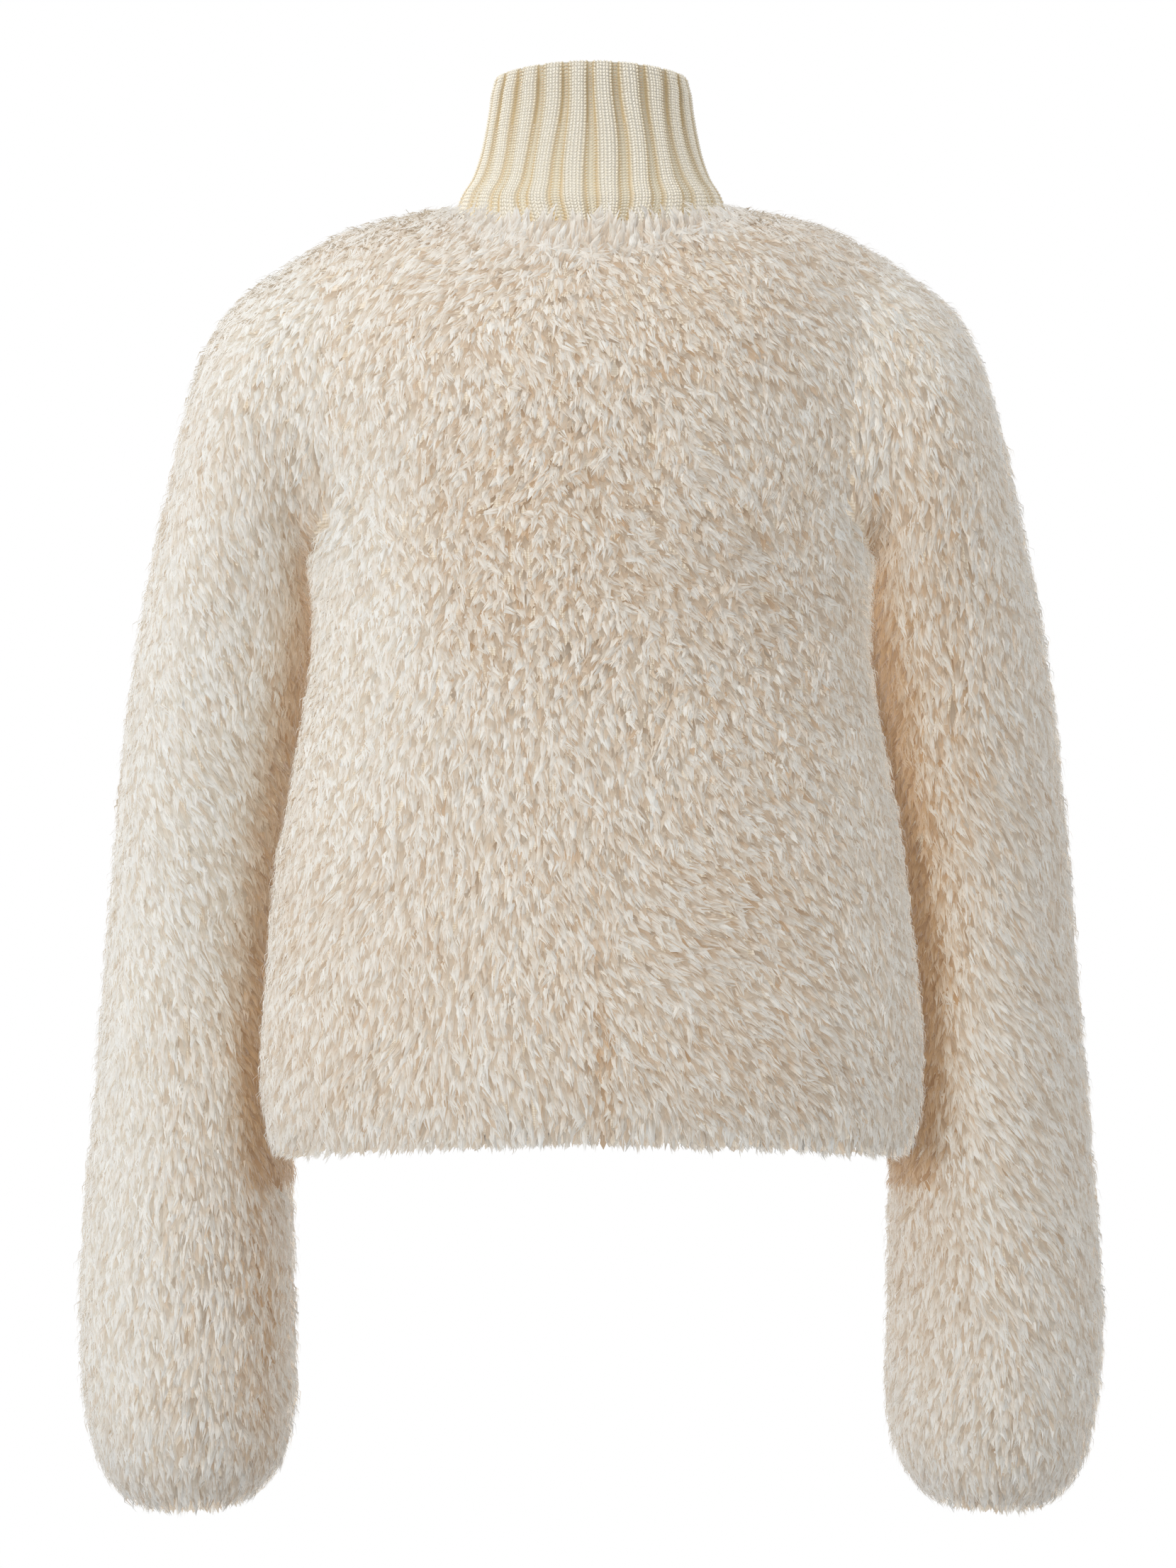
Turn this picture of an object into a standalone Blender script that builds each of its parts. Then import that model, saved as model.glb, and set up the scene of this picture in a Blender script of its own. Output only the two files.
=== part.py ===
"""A cropped cardigan in long-pile knitted fur, hollow and filled out as when it is worn.

The pile pieces are a back, two fronts and two long sleeves. They are cut from one body form, whose surface is
where the tips of the pile reach, and each is a wall as thick as its knitted backing and pile together. A funnel
collar in wide rib stands on the neckline, and a zip closes the front from the hem to the top of the collar.

The wearer faces -Y and +Z is up, so +X is the wearer's left. The origin is in the middle of the neck, at the
height where the shoulders carry the garment. Sizes are in millimetres here, and meshes are made in metres.
"""

import math
from bisect import bisect_left
from collections import namedtuple

import bmesh
import bpy
from mathutils import Matrix, Vector

MM = 0.001

# Driving sizes of the cloth
PILE_WALL = 12.0  # backing of 2 and standing pile of 10
SEAM_GAP = 0.3  # between two pieces where they are sewn together
NECK_GAP = 0.4  # between the collar and the neck edge, whose facets differ
FRONT_EDGE_X = 5.0  # each front stops this far from the middle, and the zip lies between them

# Colours, linear
PILE_CREAM = (0.80, 0.71, 0.61, 1.0)
RIB_ECRU = (0.82, 0.75, 0.60, 1.0)
TAPE_ECRU = (0.78, 0.70, 0.55, 1.0)
ZIP_METAL = (0.62, 0.60, 0.56, 1.0)

# One row for each ring of the body form, from the hem up to the neck. Depths run forwards and backwards from
# the side seam, and each height is given at the side, at the centre back and at the centre front.
BodySection = namedtuple("BodySection", "name half_width back_depth front_depth z_side z_back z_front")
BODY = (
    BodySection("hem", 181, 108, 118, -539, -528, -535),
    BodySection("hem_roll", 188, 115, 123, -519, -508, -516),
    BodySection("hip", 190, 115, 124, -470, -464, -468),
    BodySection("waist", 185, 109, 121, -405, -400, -403),
    BodySection("rib_cage", 174, 104, 127, -340, -336, -338),
    BodySection("under_bust", 163, 106, 136, -285, -278, -282),
    BodySection("bust", 157, 110, 141, -241, -226, -238),
    BodySection("underarm", 159, 114, 139, -207, -176, -192),
    BodySection("low_armhole", 172, 115, 132, -160, -140, -152),
    BodySection("mid_armhole", 180, 114, 122, -118, -108, -120),
    BodySection("high_armhole", 180, 109, 108, -76, -82, -96),
    BodySection("shoulder", 174, 99, 94, -33, -62, -78),
    BodySection("mid_shoulder", 147, 88, 82, -14, -42, -60),
    BodySection("near_neck", 112, 79, 73, -5, -25, -47),
    BodySection("neck", 80, 71, 65, -2, -10, -34),
)
ARMHOLE_LOW = 7  # row where the armhole ends below
ARMHOLE_TOP = 11  # row where the shoulder seam meets the sleeve

# Columns of the body form, as angles round from the centre back to the centre front
COLUMNS = tuple(math.radians(a) for a in (0, 19, 38, 56, 73, 90, 107, 124, 142, 161, 180))
SIDE_SEAM = 5  # column of the side seam, and of the shoulder seam above it
ARMHOLE_BACK = 3  # column where the armhole meets the back
ARMHOLE_FRONT = 7  # column where it meets the front

# The armhole, as an oval seen from the side, and how far out it lies over, beside and under the arm
Armhole = namedtuple("Armhole", "centre_y centre_z half_depth half_height x_over x_beside x_under")
ARMHOLE = Armhole(-3, -117, 63, 85, 174, 149, 157)

# One row for each ring of a sleeve, from the armhole down. The over-arm and under-arm lines are its outlines
# as seen from the front, and the ring reaches half_depth forwards and backwards from centre_y.
SleeveSection = namedtuple("SleeveSection", "name over_x over_z under_x under_z centre_y half_depth")
SLEEVE = (
    SleeveSection("cap_top", 206, -52, 162, -206, -6, 70),
    SleeveSection("cap", 224, -86, 162, -212, -10, 70),
    SleeveSection("cap_low", 236, -132, 159, -222, -16, 69),
    SleeveSection("upper_arm", 249, -190, 157, -240, -26, 67),
    SleeveSection("biceps", 262, -248, 157, -276, -39, 66),
    SleeveSection("above_elbow", 271, -312, 165, -328, -52, 65),
    SleeveSection("elbow", 278, -382, 171, -390, -64, 64),
    SleeveSection("below_elbow", 284, -452, 174, -456, -72, 64),
    SleeveSection("forearm", 290, -524, 171, -525, -77, 66),
    SleeveSection("wrist", 297, -594, 170, -594, -79, 69),
    SleeveSection("cuff_full", 299, -654, 169, -654, -79, 70),
    SleeveSection("cuff_turn", 293, -704, 168, -702, -78, 67),
    SleeveSection("cuff_low", 281, -733, 182, -731, -77, 56),
    SleeveSection("cuff", 262, -746, 200, -744, -76, 44),
)
RING_POINTS = 16  # points round a sleeve, which is also how many the armhole has

# Soft hollows pressed into the pile, each along a line: its two ends, how wide it is and how deep
Hollow = namedtuple("Hollow", "name start end width depth")
HOLLOWS = (
    Hollow("centre_back", (0, 108, -430), (0, 112, -520), 26, 3.5),
    Hollow("back_left", (85, 98, -400), (96, 104, -500), 34, 3.0),
    Hollow("back_right", (-92, 100, -420), (-80, 108, -525), 34, 3.0),
    Hollow("elbow_left", (170, -10, -436), (276, -20, -428), 24, 4.0),
    Hollow("elbow_right", (-175, -16, -412), (-274, -26, -420), 28, 3.0),
    Hollow("sleeve_head_left", (150, 70, -70), (168, 66, -160), 30, 4.0),
    Hollow("sleeve_head_right", (-150, 70, -70), (-168, 66, -160), 30, 4.0),
)

# One row for each ring of the collar above the neck seam, measured over the ribs
COLLAR = (
    BodySection("flare", 73.0, 66.0, 63.0, 4, -4, -21),
    BodySection("low_stand", 67.0, 61.5, 60.5, 14, 7, -8),
    BodySection("stand", 62.6, 58.0, 58.5, 26, 21, 8),
    BodySection("mid_stand", 59.6, 55.0, 57.5, 39, 37, 26),
    BodySection("high_stand", 57.2, 52.5, 57.0, 53, 53, 43),
    BodySection("under_edge", 55.3, 50.5, 57.0, 65, 68, 58),
    BodySection("edge", 53.4, 48.5, 55.0, 71, 75, 65),
)
COLLAR_THICK = 5.0  # of the knit at a rib
COLLAR_SEAT = 7.0  # the knit's outer side lies this far below the tips of the pile where it is sewn on
RIB_COUNT = 22  # all round, with a furrow at the centre back and the zip at the centre front
RIB_HEIGHT = 2.6  # how far a rib stands above the furrow beside it
EDGE_RIB_SHARE = 0.3  # the ribs flatten to this share of their height as they turn over the top edge
EDGE_THICK = 1.8  # the flat on top of the collar's rounded edge
# Points across one rib, from furrow to furrow: how far across, and its share of the rib's height
RIB_PROFILE = ((0.14, 0.0), (0.24, 0.85), (0.5, 1.0), (0.76, 0.85), (0.86, 0.0))

# The zip, whose tapes lie behind the fronts and the collar. Its slider is at the top of the collar.
TAPE_WIDTH = 14.0
TAPE_THICK = 1.1
TAPE_BEHIND = 0.5  # clear of the cloth in front of it
TAPE_EASE = 0.7  # more room at the tape's outer edge, where the cloth's facets cut the curve
TAPE_TOP_Z = 56.5
TEETH_ROOM = 1.3  # in front of the tape and behind it, for the row of teeth
BOX_SIZE = (8.6, 3.4, 9.0)  # across, outwards and upwards
SLIDER_HALF_WIDTH = 4.3
SLIDER_LOW_Z, SLIDER_TOP_Z = 46.5, 60.0
PLATE_THICK = 1.2
POST_HALF_WIDTH = 1.6
CHEEK_IN_X, CHEEK_OUT_X = 2.0, 3.0
CHEEK_RISE = 1.2  # above and below the pin
PIN_Z = 55.0
PIN_OUT = 2.3  # from the slider's front face to the pin's middle
PIN_RADIUS = 0.55
BITE = 0.3  # how far fused pieces reach into each other
EYE_RADIUS, EYE_BORE, EYE_HALF_WIDTH = 1.7, 0.9, 1.5  # of the tab's eye, which turns on the pin
PULL_HALF_WIDTH, PULL_THICK, PULL_ROUNDING = 2.6, 1.4, 0.45
PULL_LENGTH = 22.0  # from the pin to the tab's lower end
PULL_SHOULDER = 2.7  # from the pin to where the tab widens

# Piece names, in the order of their indices on the body form
PILE_PIECES = ("back", "front_left", "front_right", "sleeve_left", "sleeve_right")
BACK, FRONT_LEFT, FRONT_RIGHT, SLEEVE_LEFT, SLEEVE_RIGHT = range(len(PILE_PIECES))


def clear_scene():
    for old in list(bpy.data.objects):
        bpy.data.objects.remove(old, do_unlink=True)


def new_material(name, colour, roughness, metallic=0.0):
    material = bpy.data.materials.new(name)
    material.use_nodes = True
    shader = material.node_tree.nodes["Principled BSDF"]
    shader.inputs["Base Color"].default_value = colour
    shader.inputs["Roughness"].default_value = roughness
    shader.inputs["Metallic"].default_value = metallic
    return material


def new_object(name, bm, collection, material):
    """A smooth-shaded object from a bmesh whose points are in millimetres."""
    bmesh.ops.recalc_face_normals(bm, faces=bm.faces)
    bmesh.ops.scale(bm, vec=(MM, MM, MM), verts=bm.verts)
    mesh = bpy.data.meshes.new(name)
    bm.to_mesh(mesh)
    bm.free()
    mesh.shade_smooth()
    mesh.set_sharp_from_angle(angle=math.radians(50))
    mesh.materials.append(material)
    made = bpy.data.objects.new(name, mesh)
    collection.objects.link(made)
    return made


# ---------------------------------------------------------------- the body form


def section_point(section, angle, side=1):
    """A point of a body or collar ring, by its angle round from the centre back."""
    across, along = math.sin(angle), math.cos(angle)
    depth, z_middle = (
        (section.back_depth, section.z_back) if along > 0 else (section.front_depth, section.z_front)
    )
    side_share = across * across
    height = section.z_side * side_share + z_middle * (1 - side_share)
    return Vector((side * section.half_width * across, depth * along, height))


def cage_swell(points_round):
    """Subdivision draws a ring in towards its middle, so the cage's rings are made this much larger."""
    return 1 / (1 - (1 - math.cos(2 * math.pi / points_round)) / 4)


def sleeve_point(section, turn, side):
    """A point of a sleeve ring: turn is 0 on the over-arm line, a quarter at the back, half under the arm."""
    over = Vector((section.over_x, 0, section.over_z))
    under = Vector((section.under_x, 0, section.under_z))
    swell = cage_swell(RING_POINTS)
    point = (over + under) / 2 + (over - under) / 2 * swell * math.cos(turn)
    point.y = section.centre_y + section.half_depth * swell * math.sin(turn)
    point.x *= side
    return point


def armhole_places():
    """(row, column) round the armhole, from the shoulder seam over the back, under the arm and up the front."""
    across_back = range(SIDE_SEAM, ARMHOLE_BACK, -1)
    down = range(ARMHOLE_TOP, ARMHOLE_LOW, -1)
    under = range(ARMHOLE_BACK, ARMHOLE_FRONT)
    up = range(ARMHOLE_LOW, ARMHOLE_TOP)
    across_front = range(ARMHOLE_FRONT, SIDE_SEAM, -1)
    return (
        [(ARMHOLE_TOP, c) for c in across_back]
        + [(r, ARMHOLE_BACK) for r in down]
        + [(ARMHOLE_LOW, c) for c in under]
        + [(r, ARMHOLE_FRONT) for r in up]
        + [(ARMHOLE_TOP, c) for c in across_front]
    )


def in_armhole(row, column):
    """Whether the cage's face above this row and after this column is where the armhole opens."""
    return ARMHOLE_LOW <= row < ARMHOLE_TOP and ARMHOLE_BACK <= column < ARMHOLE_FRONT


def armhole_point(turn, side):
    """A point of the armhole: turn is 0 on the shoulder, a quarter at the back, half under the arm."""
    over, under = max(0.0, math.cos(turn)), max(0.0, -math.cos(turn))
    beside = 1 - over**2 - under**2
    x = ARMHOLE.x_over * over**2 + ARMHOLE.x_beside * beside + ARMHOLE.x_under * under**2
    y = ARMHOLE.centre_y + ARMHOLE.half_depth * math.sin(turn)
    z = ARMHOLE.centre_z + ARMHOLE.half_height * math.cos(turn)
    return Vector((side * x, y, z))


def add_body_side(bm, side, centre_back):
    """The cage's half body on one side. Returns its points by (row, column)."""
    swell = cage_swell(2 * len(COLUMNS) - 2)
    turns = {place: k * 2 * math.pi / RING_POINTS for k, place in enumerate(armhole_places())}
    places = {}
    for row, section in enumerate(BODY):
        wide = section._replace(
            half_width=section.half_width * swell,
            back_depth=section.back_depth * swell,
            front_depth=section.front_depth * swell,
        )
        for column, angle in enumerate(COLUMNS):
            hidden = ARMHOLE_LOW < row < ARMHOLE_TOP and ARMHOLE_BACK < column < ARMHOLE_FRONT
            if hidden:
                continue
            if column == 0:
                places[row, column] = centre_back[row]
                continue
            point = section_point(wide, angle, side)
            if (row, column) in turns:
                point = armhole_point(turns[row, column], side)
            if column == len(COLUMNS) - 1:
                point = section_point(section, angle)
                point.x = side * FRONT_EDGE_X
            places[row, column] = bm.verts.new(point)
    front_piece = FRONT_LEFT if side > 0 else FRONT_RIGHT
    for row in range(len(BODY) - 1):
        for column in range(len(COLUMNS) - 1):
            if in_armhole(row, column):
                continue
            corners = [
                places[row, column],
                places[row, column + 1],
                places[row + 1, column + 1],
                places[row + 1, column],
            ]
            face = bm.faces.new(corners if side < 0 else corners[::-1])
            face.material_index = BACK if column < SIDE_SEAM else front_piece
    return places


def add_sleeve(bm, side, places):
    """The cage's sleeve on one side, from the armhole's points down to the cuff."""
    ring = [places[place] for place in armhole_places()]
    for section in SLEEVE:
        turns = [2 * math.pi * k / RING_POINTS for k in range(RING_POINTS)]
        lower = [bm.verts.new(sleeve_point(section, turn, side)) for turn in turns]
        for k in range(RING_POINTS):
            after = (k + 1) % RING_POINTS
            corners = [ring[k], ring[after], lower[after], lower[k]]
            face = bm.faces.new(corners if side < 0 else corners[::-1])
            face.material_index = SLEEVE_LEFT if side > 0 else SLEEVE_RIGHT
        ring = lower


def hollow_depth(point):
    """How far the hollows press the pile in at a point."""
    total = 0.0
    for hollow in HOLLOWS:
        start, end = Vector(hollow.start), Vector(hollow.end)
        line = end - start
        along = max(0.0, min(1.0, (point - start).dot(line) / line.length_squared))
        away = (point - start - line * along).length
        total += hollow.depth * math.exp(-((away / hollow.width) ** 2))
    return total


def on_front_edge(point):
    """Whether a point is on the left or right edge of the front opening."""
    return point.y < 0 and abs(abs(point.x) - FRONT_EDGE_X) < SEAM_GAP


Skin = namedtuple("Skin", "points normals faces pieces")


def body_skin():
    """The body form's surface, where the tips of the pile reach, subdivided once from its cage."""
    bm = bmesh.new()
    swell = cage_swell(2 * len(COLUMNS) - 2)
    centre_back = [bm.verts.new((0, s.back_depth * swell, s.z_back)) for s in BODY]
    for side in (1, -1):
        add_sleeve(bm, side, add_body_side(bm, side, centre_back))
    mesh = bpy.data.meshes.new("cage")
    bm.to_mesh(mesh)
    bm.free()
    cage = bpy.data.objects.new("cage", mesh)
    bpy.context.scene.collection.objects.link(cage)
    smooth = cage.modifiers.new("smooth", "SUBSURF")
    smooth.levels = smooth.render_levels = 1
    smooth.boundary_smooth = "PRESERVE_CORNERS"
    graph = bpy.context.evaluated_depsgraph_get()
    fine = bpy.data.meshes.new_from_object(cage.evaluated_get(graph))
    bpy.data.objects.remove(cage)
    normals = [v.normal.copy() for v in fine.vertices]
    for v, normal in zip(fine.vertices, normals):
        if on_front_edge(v.co):
            normal.x = 0.0
            normal.normalize()
    points = [v.co - n * hollow_depth(v.co) for v, n in zip(fine.vertices, normals)]
    return Skin(
        points,
        normals,
        [tuple(p.vertices) for p in fine.polygons],
        [p.material_index for p in fine.polygons],
    )


# ---------------------------------------------------------------- walls cut from it


def border_steps(faces):
    """The directed edges that only one of these faces has, as {start: end}."""
    steps = {(f[i - 1], f[i]) for f in faces for i in range(len(f))}
    return {a: b for a, b in steps if (b, a) not in steps}


def inset_border(points, normals, border, distance):
    """Moves the border's points into the piece, so that each of its edges ends up that far inside."""
    inward = {}
    for a, b in border.items():
        direction = (normals[a] + normals[b]).cross(points[b] - points[a]).normalized()
        inward.setdefault(a, []).append(direction)
        inward.setdefault(b, []).append(direction)
    moved = list(points)
    for index, (first, second) in inward.items():
        moved[index] = points[index] + (first + second) * distance / (1 + first.dot(second))
    return moved


def wall_mesh(outer, inner, faces, border):
    """A closed wall between two sets of points that share their faces."""
    bm = bmesh.new()
    used = sorted({i for f in faces for i in f})
    out_verts = {i: bm.verts.new(outer[i]) for i in used}
    in_verts = {i: bm.verts.new(inner[i]) for i in used}
    for f in faces:
        bm.faces.new([out_verts[i] for i in f])
        bm.faces.new([in_verts[i] for i in reversed(f)])
    for a, b in border.items():
        rim = [out_verts[b], out_verts[a], in_verts[a], in_verts[b]]
        if a < b:  # the same diagonal on both sides of a seam, so that the two rims lie parallel
            rim = rim[1:] + rim[:1]
        bm.faces.new([rim[0], rim[1], rim[2]])
        bm.faces.new([rim[0], rim[2], rim[3]])
    return bm


def add_pile_pieces(skin, collection, material):
    """The back, fronts and sleeves, each shrunk by half a seam's gap along its border."""
    for index, name in enumerate(PILE_PIECES):
        faces = [f for f, piece in zip(skin.faces, skin.pieces) if piece == index]
        border = border_steps(faces)
        outer = inset_border(skin.points, skin.normals, border, SEAM_GAP / 2)
        inner = [p - n * PILE_WALL for p, n in zip(outer, skin.normals)]
        new_object(name, wall_mesh(outer, inner, faces, border), collection, material)


# ---------------------------------------------------------------- the collar


NeckPoint = namedtuple("NeckPoint", "angle outer inner")


def neck_ring(skin):
    """The neck edge of the pile, moved a gap into the opening: both sides of the wall, by angle."""
    border = border_steps(skin.faces)
    outer = inset_border(skin.points, skin.normals, border, -NECK_GAP)
    neck = [i for i in border if skin.points[i].z > BODY[-1].z_front - 2]
    ring = []
    for i in neck:
        angle = math.atan2(outer[i].x, outer[i].y)
        ring.append(NeckPoint(angle, outer[i], outer[i] - skin.normals[i] * PILE_WALL))
    return sorted(ring)


def on_neck(ring, angle):
    """The neck edge at an angle, on the straight line between its two nearest points."""
    places = [p.angle for p in ring]
    after = min(max(bisect_left(places, angle), 1), len(ring) - 1)
    first, second = ring[after - 1], ring[after]
    share = (angle - first.angle) / (second.angle - first.angle)
    return first.outer.lerp(second.outer, share), first.inner.lerp(second.inner, share)


def collar_shares():
    """How far round the collar each of its points lies, and its share of a rib's height."""
    shares = [(0.0, 0.0)]
    for rib in range(RIB_COUNT):
        shares += [((rib + across) / RIB_COUNT, height) for across, height in RIB_PROFILE]
    return shares + [(1.0, 0.0)]


def collar_ring(section, rib_share, inwards=0.0):
    """One ring of the collar from front edge to front edge, lowered between the ribs."""
    points = []
    for share, height in collar_shares():
        lowered = inwards + RIB_HEIGHT * rib_share * (1 - height)
        ring = section._replace(
            half_width=section.half_width - lowered,
            back_depth=section.back_depth - lowered,
            front_depth=section.front_depth - lowered,
        )
        front_angle = math.pi - math.asin(FRONT_EDGE_X / ring.half_width)
        points.append(section_point(ring, front_angle * (2 * share - 1)))
    return points


def collar_seat(ring, depth):
    """The collar's lower edge, this deep below the tips of the pile, on the neck edge it is sewn to."""
    front_angle = math.pi - math.asin(FRONT_EDGE_X / BODY[-1].half_width)
    points = []
    for share, _ in collar_shares():
        outer, inner = on_neck(ring, front_angle * (2 * share - 1))
        points.append(outer.lerp(inner, depth / PILE_WALL))
    return points


def add_collar(skin, collection, material):
    """The rib collar, as rings up its outer side and down its plain inner side."""
    seat = neck_ring(skin)
    by_name = {section.name: section for section in COLLAR}
    rings = [collar_seat(seat, COLLAR_SEAT)]
    rings += [collar_ring(section, 1.0) for section in COLLAR[:-1]]
    rings.append(collar_ring(COLLAR[-1], EDGE_RIB_SHARE))
    rings.append(collar_ring(COLLAR[-1], 0.0, EDGE_THICK))
    for name in ("under_edge", "mid_stand", "flare"):
        rings.append(collar_ring(by_name[name], 0.0, COLLAR_THICK))
    rings.append(collar_seat(seat, PILE_WALL))
    bm = bmesh.new()
    grid = [[bm.verts.new(point) for point in ring] for ring in rings]
    for ring, after in zip(grid, grid[1:] + grid[:1]):
        for k in range(len(ring) - 1):
            bm.faces.new([ring[k], ring[k + 1], after[k + 1], after[k]])
    for end in (0, -1):
        bm.faces.new([ring[end] for ring in grid])
    return new_object("collar", bm, collection, material)


# ---------------------------------------------------------------- the zip


ZipPoint = namedtuple("ZipPoint", "y z lean")


def tape_lean(section):
    """How far the cloth falls back across the width of the tape, on a ring of this section."""
    return TAPE_WIDTH**2 * section.front_depth / section.half_width**2 / 2 + TAPE_EASE


def zip_line(skin):
    """The inner side of the cloth along the centre front, from the hem to the top of the collar."""
    line = []
    for i in border_steps(skin.faces):
        point = skin.points[i]
        if on_front_edge(point) and point.x > 0:
            inner = point - skin.normals[i] * PILE_WALL
            section = min(BODY, key=lambda s: abs(s.z_front - point.z))
            line.append(ZipPoint(inner.y, inner.z, tape_lean(section)))
    line.sort(key=lambda place: place.z)
    for section in COLLAR[:-1]:
        inner_y = COLLAR_THICK - section.front_depth
        line.append(ZipPoint(inner_y, section.z_front, tape_lean(section)))
    top = line.pop()
    return line + [top._replace(z=TAPE_TOP_Z)]


def outward_of(line, k):
    """The direction square to the zip at one of its points, as (y, z)."""
    before, after = line[max(k - 1, 0)], line[min(k + 1, len(line) - 1)]
    along = Vector((after.y - before.y, after.z - before.z)).normalized()
    return Vector((-along.y, along.x))


def add_tape(name, line, side, collection, material):
    """One tape of the zip, from the hem to the top of the collar."""
    bm = bmesh.new()
    rings = []
    for k, place in enumerate(line):
        outward = outward_of(line, k)
        corners = (
            (SEAM_GAP / 2, -TAPE_BEHIND),
            (TAPE_WIDTH, -TAPE_BEHIND - place.lean),
            (TAPE_WIDTH, -TAPE_BEHIND - place.lean - TAPE_THICK),
            (SEAM_GAP / 2, -TAPE_BEHIND - TAPE_THICK),
        )
        ring = []
        for x, out in corners:
            ring.append(bm.verts.new((side * x, place.y + outward.x * out, place.z + outward.y * out)))
        rings.append(ring)
    for ring, after in zip(rings, rings[1:]):
        for k in range(len(ring)):
            bm.faces.new([ring[k - 1], ring[k], after[k], after[k - 1]])
    bm.faces.new(rings[0])
    bm.faces.new(rings[-1])
    return new_object(name, bm, collection, material)


def box_mesh(low, high):
    """A box between two corners."""
    bm = bmesh.new()
    bmesh.ops.create_cube(bm, size=1.0)
    size = Vector(high) - Vector(low)
    middle = (Vector(low) + Vector(high)) / 2
    bm.transform(Matrix.Translation(middle) @ Matrix.Diagonal((*size, 1.0)))
    return bm


def pin_mesh(radius, half_length, y, z):
    """A round pin across the middle."""
    bm = bmesh.new()
    bmesh.ops.create_cone(
        bm, cap_ends=True, segments=16, radius1=radius, radius2=radius, depth=2 * half_length
    )
    bm.transform(Matrix.Translation((0, y, z)) @ Matrix.Rotation(math.pi / 2, 4, "Y"))
    return bm


def combine(target, operation, bm, tools, material):
    """Adds a helper to one of the objects, or cuts it away."""
    helper = new_object(f"{target.name}_{len(target.modifiers)}", bm, tools, material)
    helper.hide_render = True
    helper.display_type = "WIRE"
    step = target.modifiers.new(operation.lower(), "BOOLEAN")
    step.operation = operation
    step.object = helper


def add_slider(tape_y, parts, tools, material):
    """The slider: a plate on each side of the tapes, a post between them, and a pin held by two cheeks."""
    wide = SLIDER_HALF_WIDTH
    plate_in = tape_y - TEETH_ROOM
    plate_out = plate_in - PLATE_THICK
    back_in = tape_y + TAPE_THICK + TEETH_ROOM
    back_out = back_in + PLATE_THICK
    low, high = (-wide, plate_out, SLIDER_LOW_Z), (wide, plate_in, SLIDER_TOP_Z)
    slider = new_object("zip_slider", box_mesh(low, high), parts, material)
    low, high = (-wide, back_in, SLIDER_LOW_Z), (wide, back_out, SLIDER_TOP_Z)
    combine(slider, "UNION", box_mesh(low, high), tools, material)
    low = (-POST_HALF_WIDTH, plate_in - BITE, TAPE_TOP_Z + SEAM_GAP)
    high = (POST_HALF_WIDTH, back_in + BITE, SLIDER_TOP_Z - BITE)
    combine(slider, "UNION", box_mesh(low, high), tools, material)
    pin_y = plate_out - PIN_OUT
    for side in (1, -1):
        near, far = sorted((side * CHEEK_IN_X, side * CHEEK_OUT_X))
        low = (near, pin_y - CHEEK_RISE, PIN_Z - CHEEK_RISE)
        high = (far, plate_out + BITE, PIN_Z + CHEEK_RISE)
        combine(slider, "UNION", box_mesh(low, high), tools, material)
    half_length = (CHEEK_IN_X + CHEEK_OUT_X) / 2
    combine(slider, "UNION", pin_mesh(PIN_RADIUS, half_length, pin_y, PIN_Z), tools, material)
    return pin_y


def add_pull(pin_y, parts, tools, material):
    """The pull tab, hanging from the slider's pin by its eye, with its origin on the pin's axis."""
    half = PULL_THICK / 2
    low = (-PULL_HALF_WIDTH, -half, -PULL_LENGTH)
    high = (PULL_HALF_WIDTH, half, -PULL_SHOULDER)
    pull = new_object("zip_pull", box_mesh(low, high), parts, material)
    rounding = pull.modifiers.new("rounding", "BEVEL")
    rounding.width = PULL_ROUNDING * MM
    rounding.segments = 2
    low, high = (-EYE_HALF_WIDTH, -half, -PULL_SHOULDER - half), (EYE_HALF_WIDTH, half, -EYE_BORE)
    combine(pull, "UNION", box_mesh(low, high), tools, material)
    combine(pull, "UNION", pin_mesh(EYE_RADIUS, EYE_HALF_WIDTH, 0, 0), tools, material)
    combine(pull, "DIFFERENCE", pin_mesh(EYE_BORE, 2 * EYE_HALF_WIDTH, 0, 0), tools, material)
    pull.location = (0, pin_y * MM, PIN_Z * MM)
    for helper in tools.objects:
        if helper.name.startswith("zip_pull"):
            helper.location = pull.location


def add_zip(skin, parts, tools):
    """Both tapes, the box at the hem, the slider and its pull tab."""
    tape_cloth = new_material("zip_tape", TAPE_ECRU, 0.8)
    metal = new_material("zip_metal", ZIP_METAL, 0.35, metallic=1.0)
    line = zip_line(skin)
    for name, side in (("zip_tape_left", 1), ("zip_tape_right", -1)):
        add_tape(name, line, side, parts, tape_cloth)
    across, out, up = BOX_SIZE
    front = line[1].y + TAPE_BEHIND - SEAM_GAP
    low, high = (-across / 2, front - out, line[0].z), (across / 2, front, line[0].z + up)
    new_object("zip_box", box_mesh(low, high), parts, metal)
    pin_y = add_slider(line[-1].y + TAPE_BEHIND, parts, tools, metal)
    add_pull(pin_y, parts, tools, metal)


def main():
    clear_scene()
    parts = bpy.data.collections.new("cardigan")
    tools = bpy.data.collections.new("tools")
    for collection in (parts, tools):
        bpy.context.scene.collection.children.link(collection)
    pile = new_material("pile", PILE_CREAM, 0.95)
    rib = new_material("rib_knit", RIB_ECRU, 0.9)
    skin = body_skin()
    add_pile_pieces(skin, parts, pile)
    add_collar(skin, parts, rib)
    add_zip(skin, parts, tools)


main()
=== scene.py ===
"""The looks of a cropped cardigan in long-pile knit, with a rib funnel collar and a zip at the front.

Units are metres and the wearer faces -Y. Sizes that are given in millimetres are multiplied by MM.
"""

import math

import bmesh
import bpy
import numpy as np
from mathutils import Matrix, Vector
from mathutils.bvhtree import BVHTree


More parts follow.
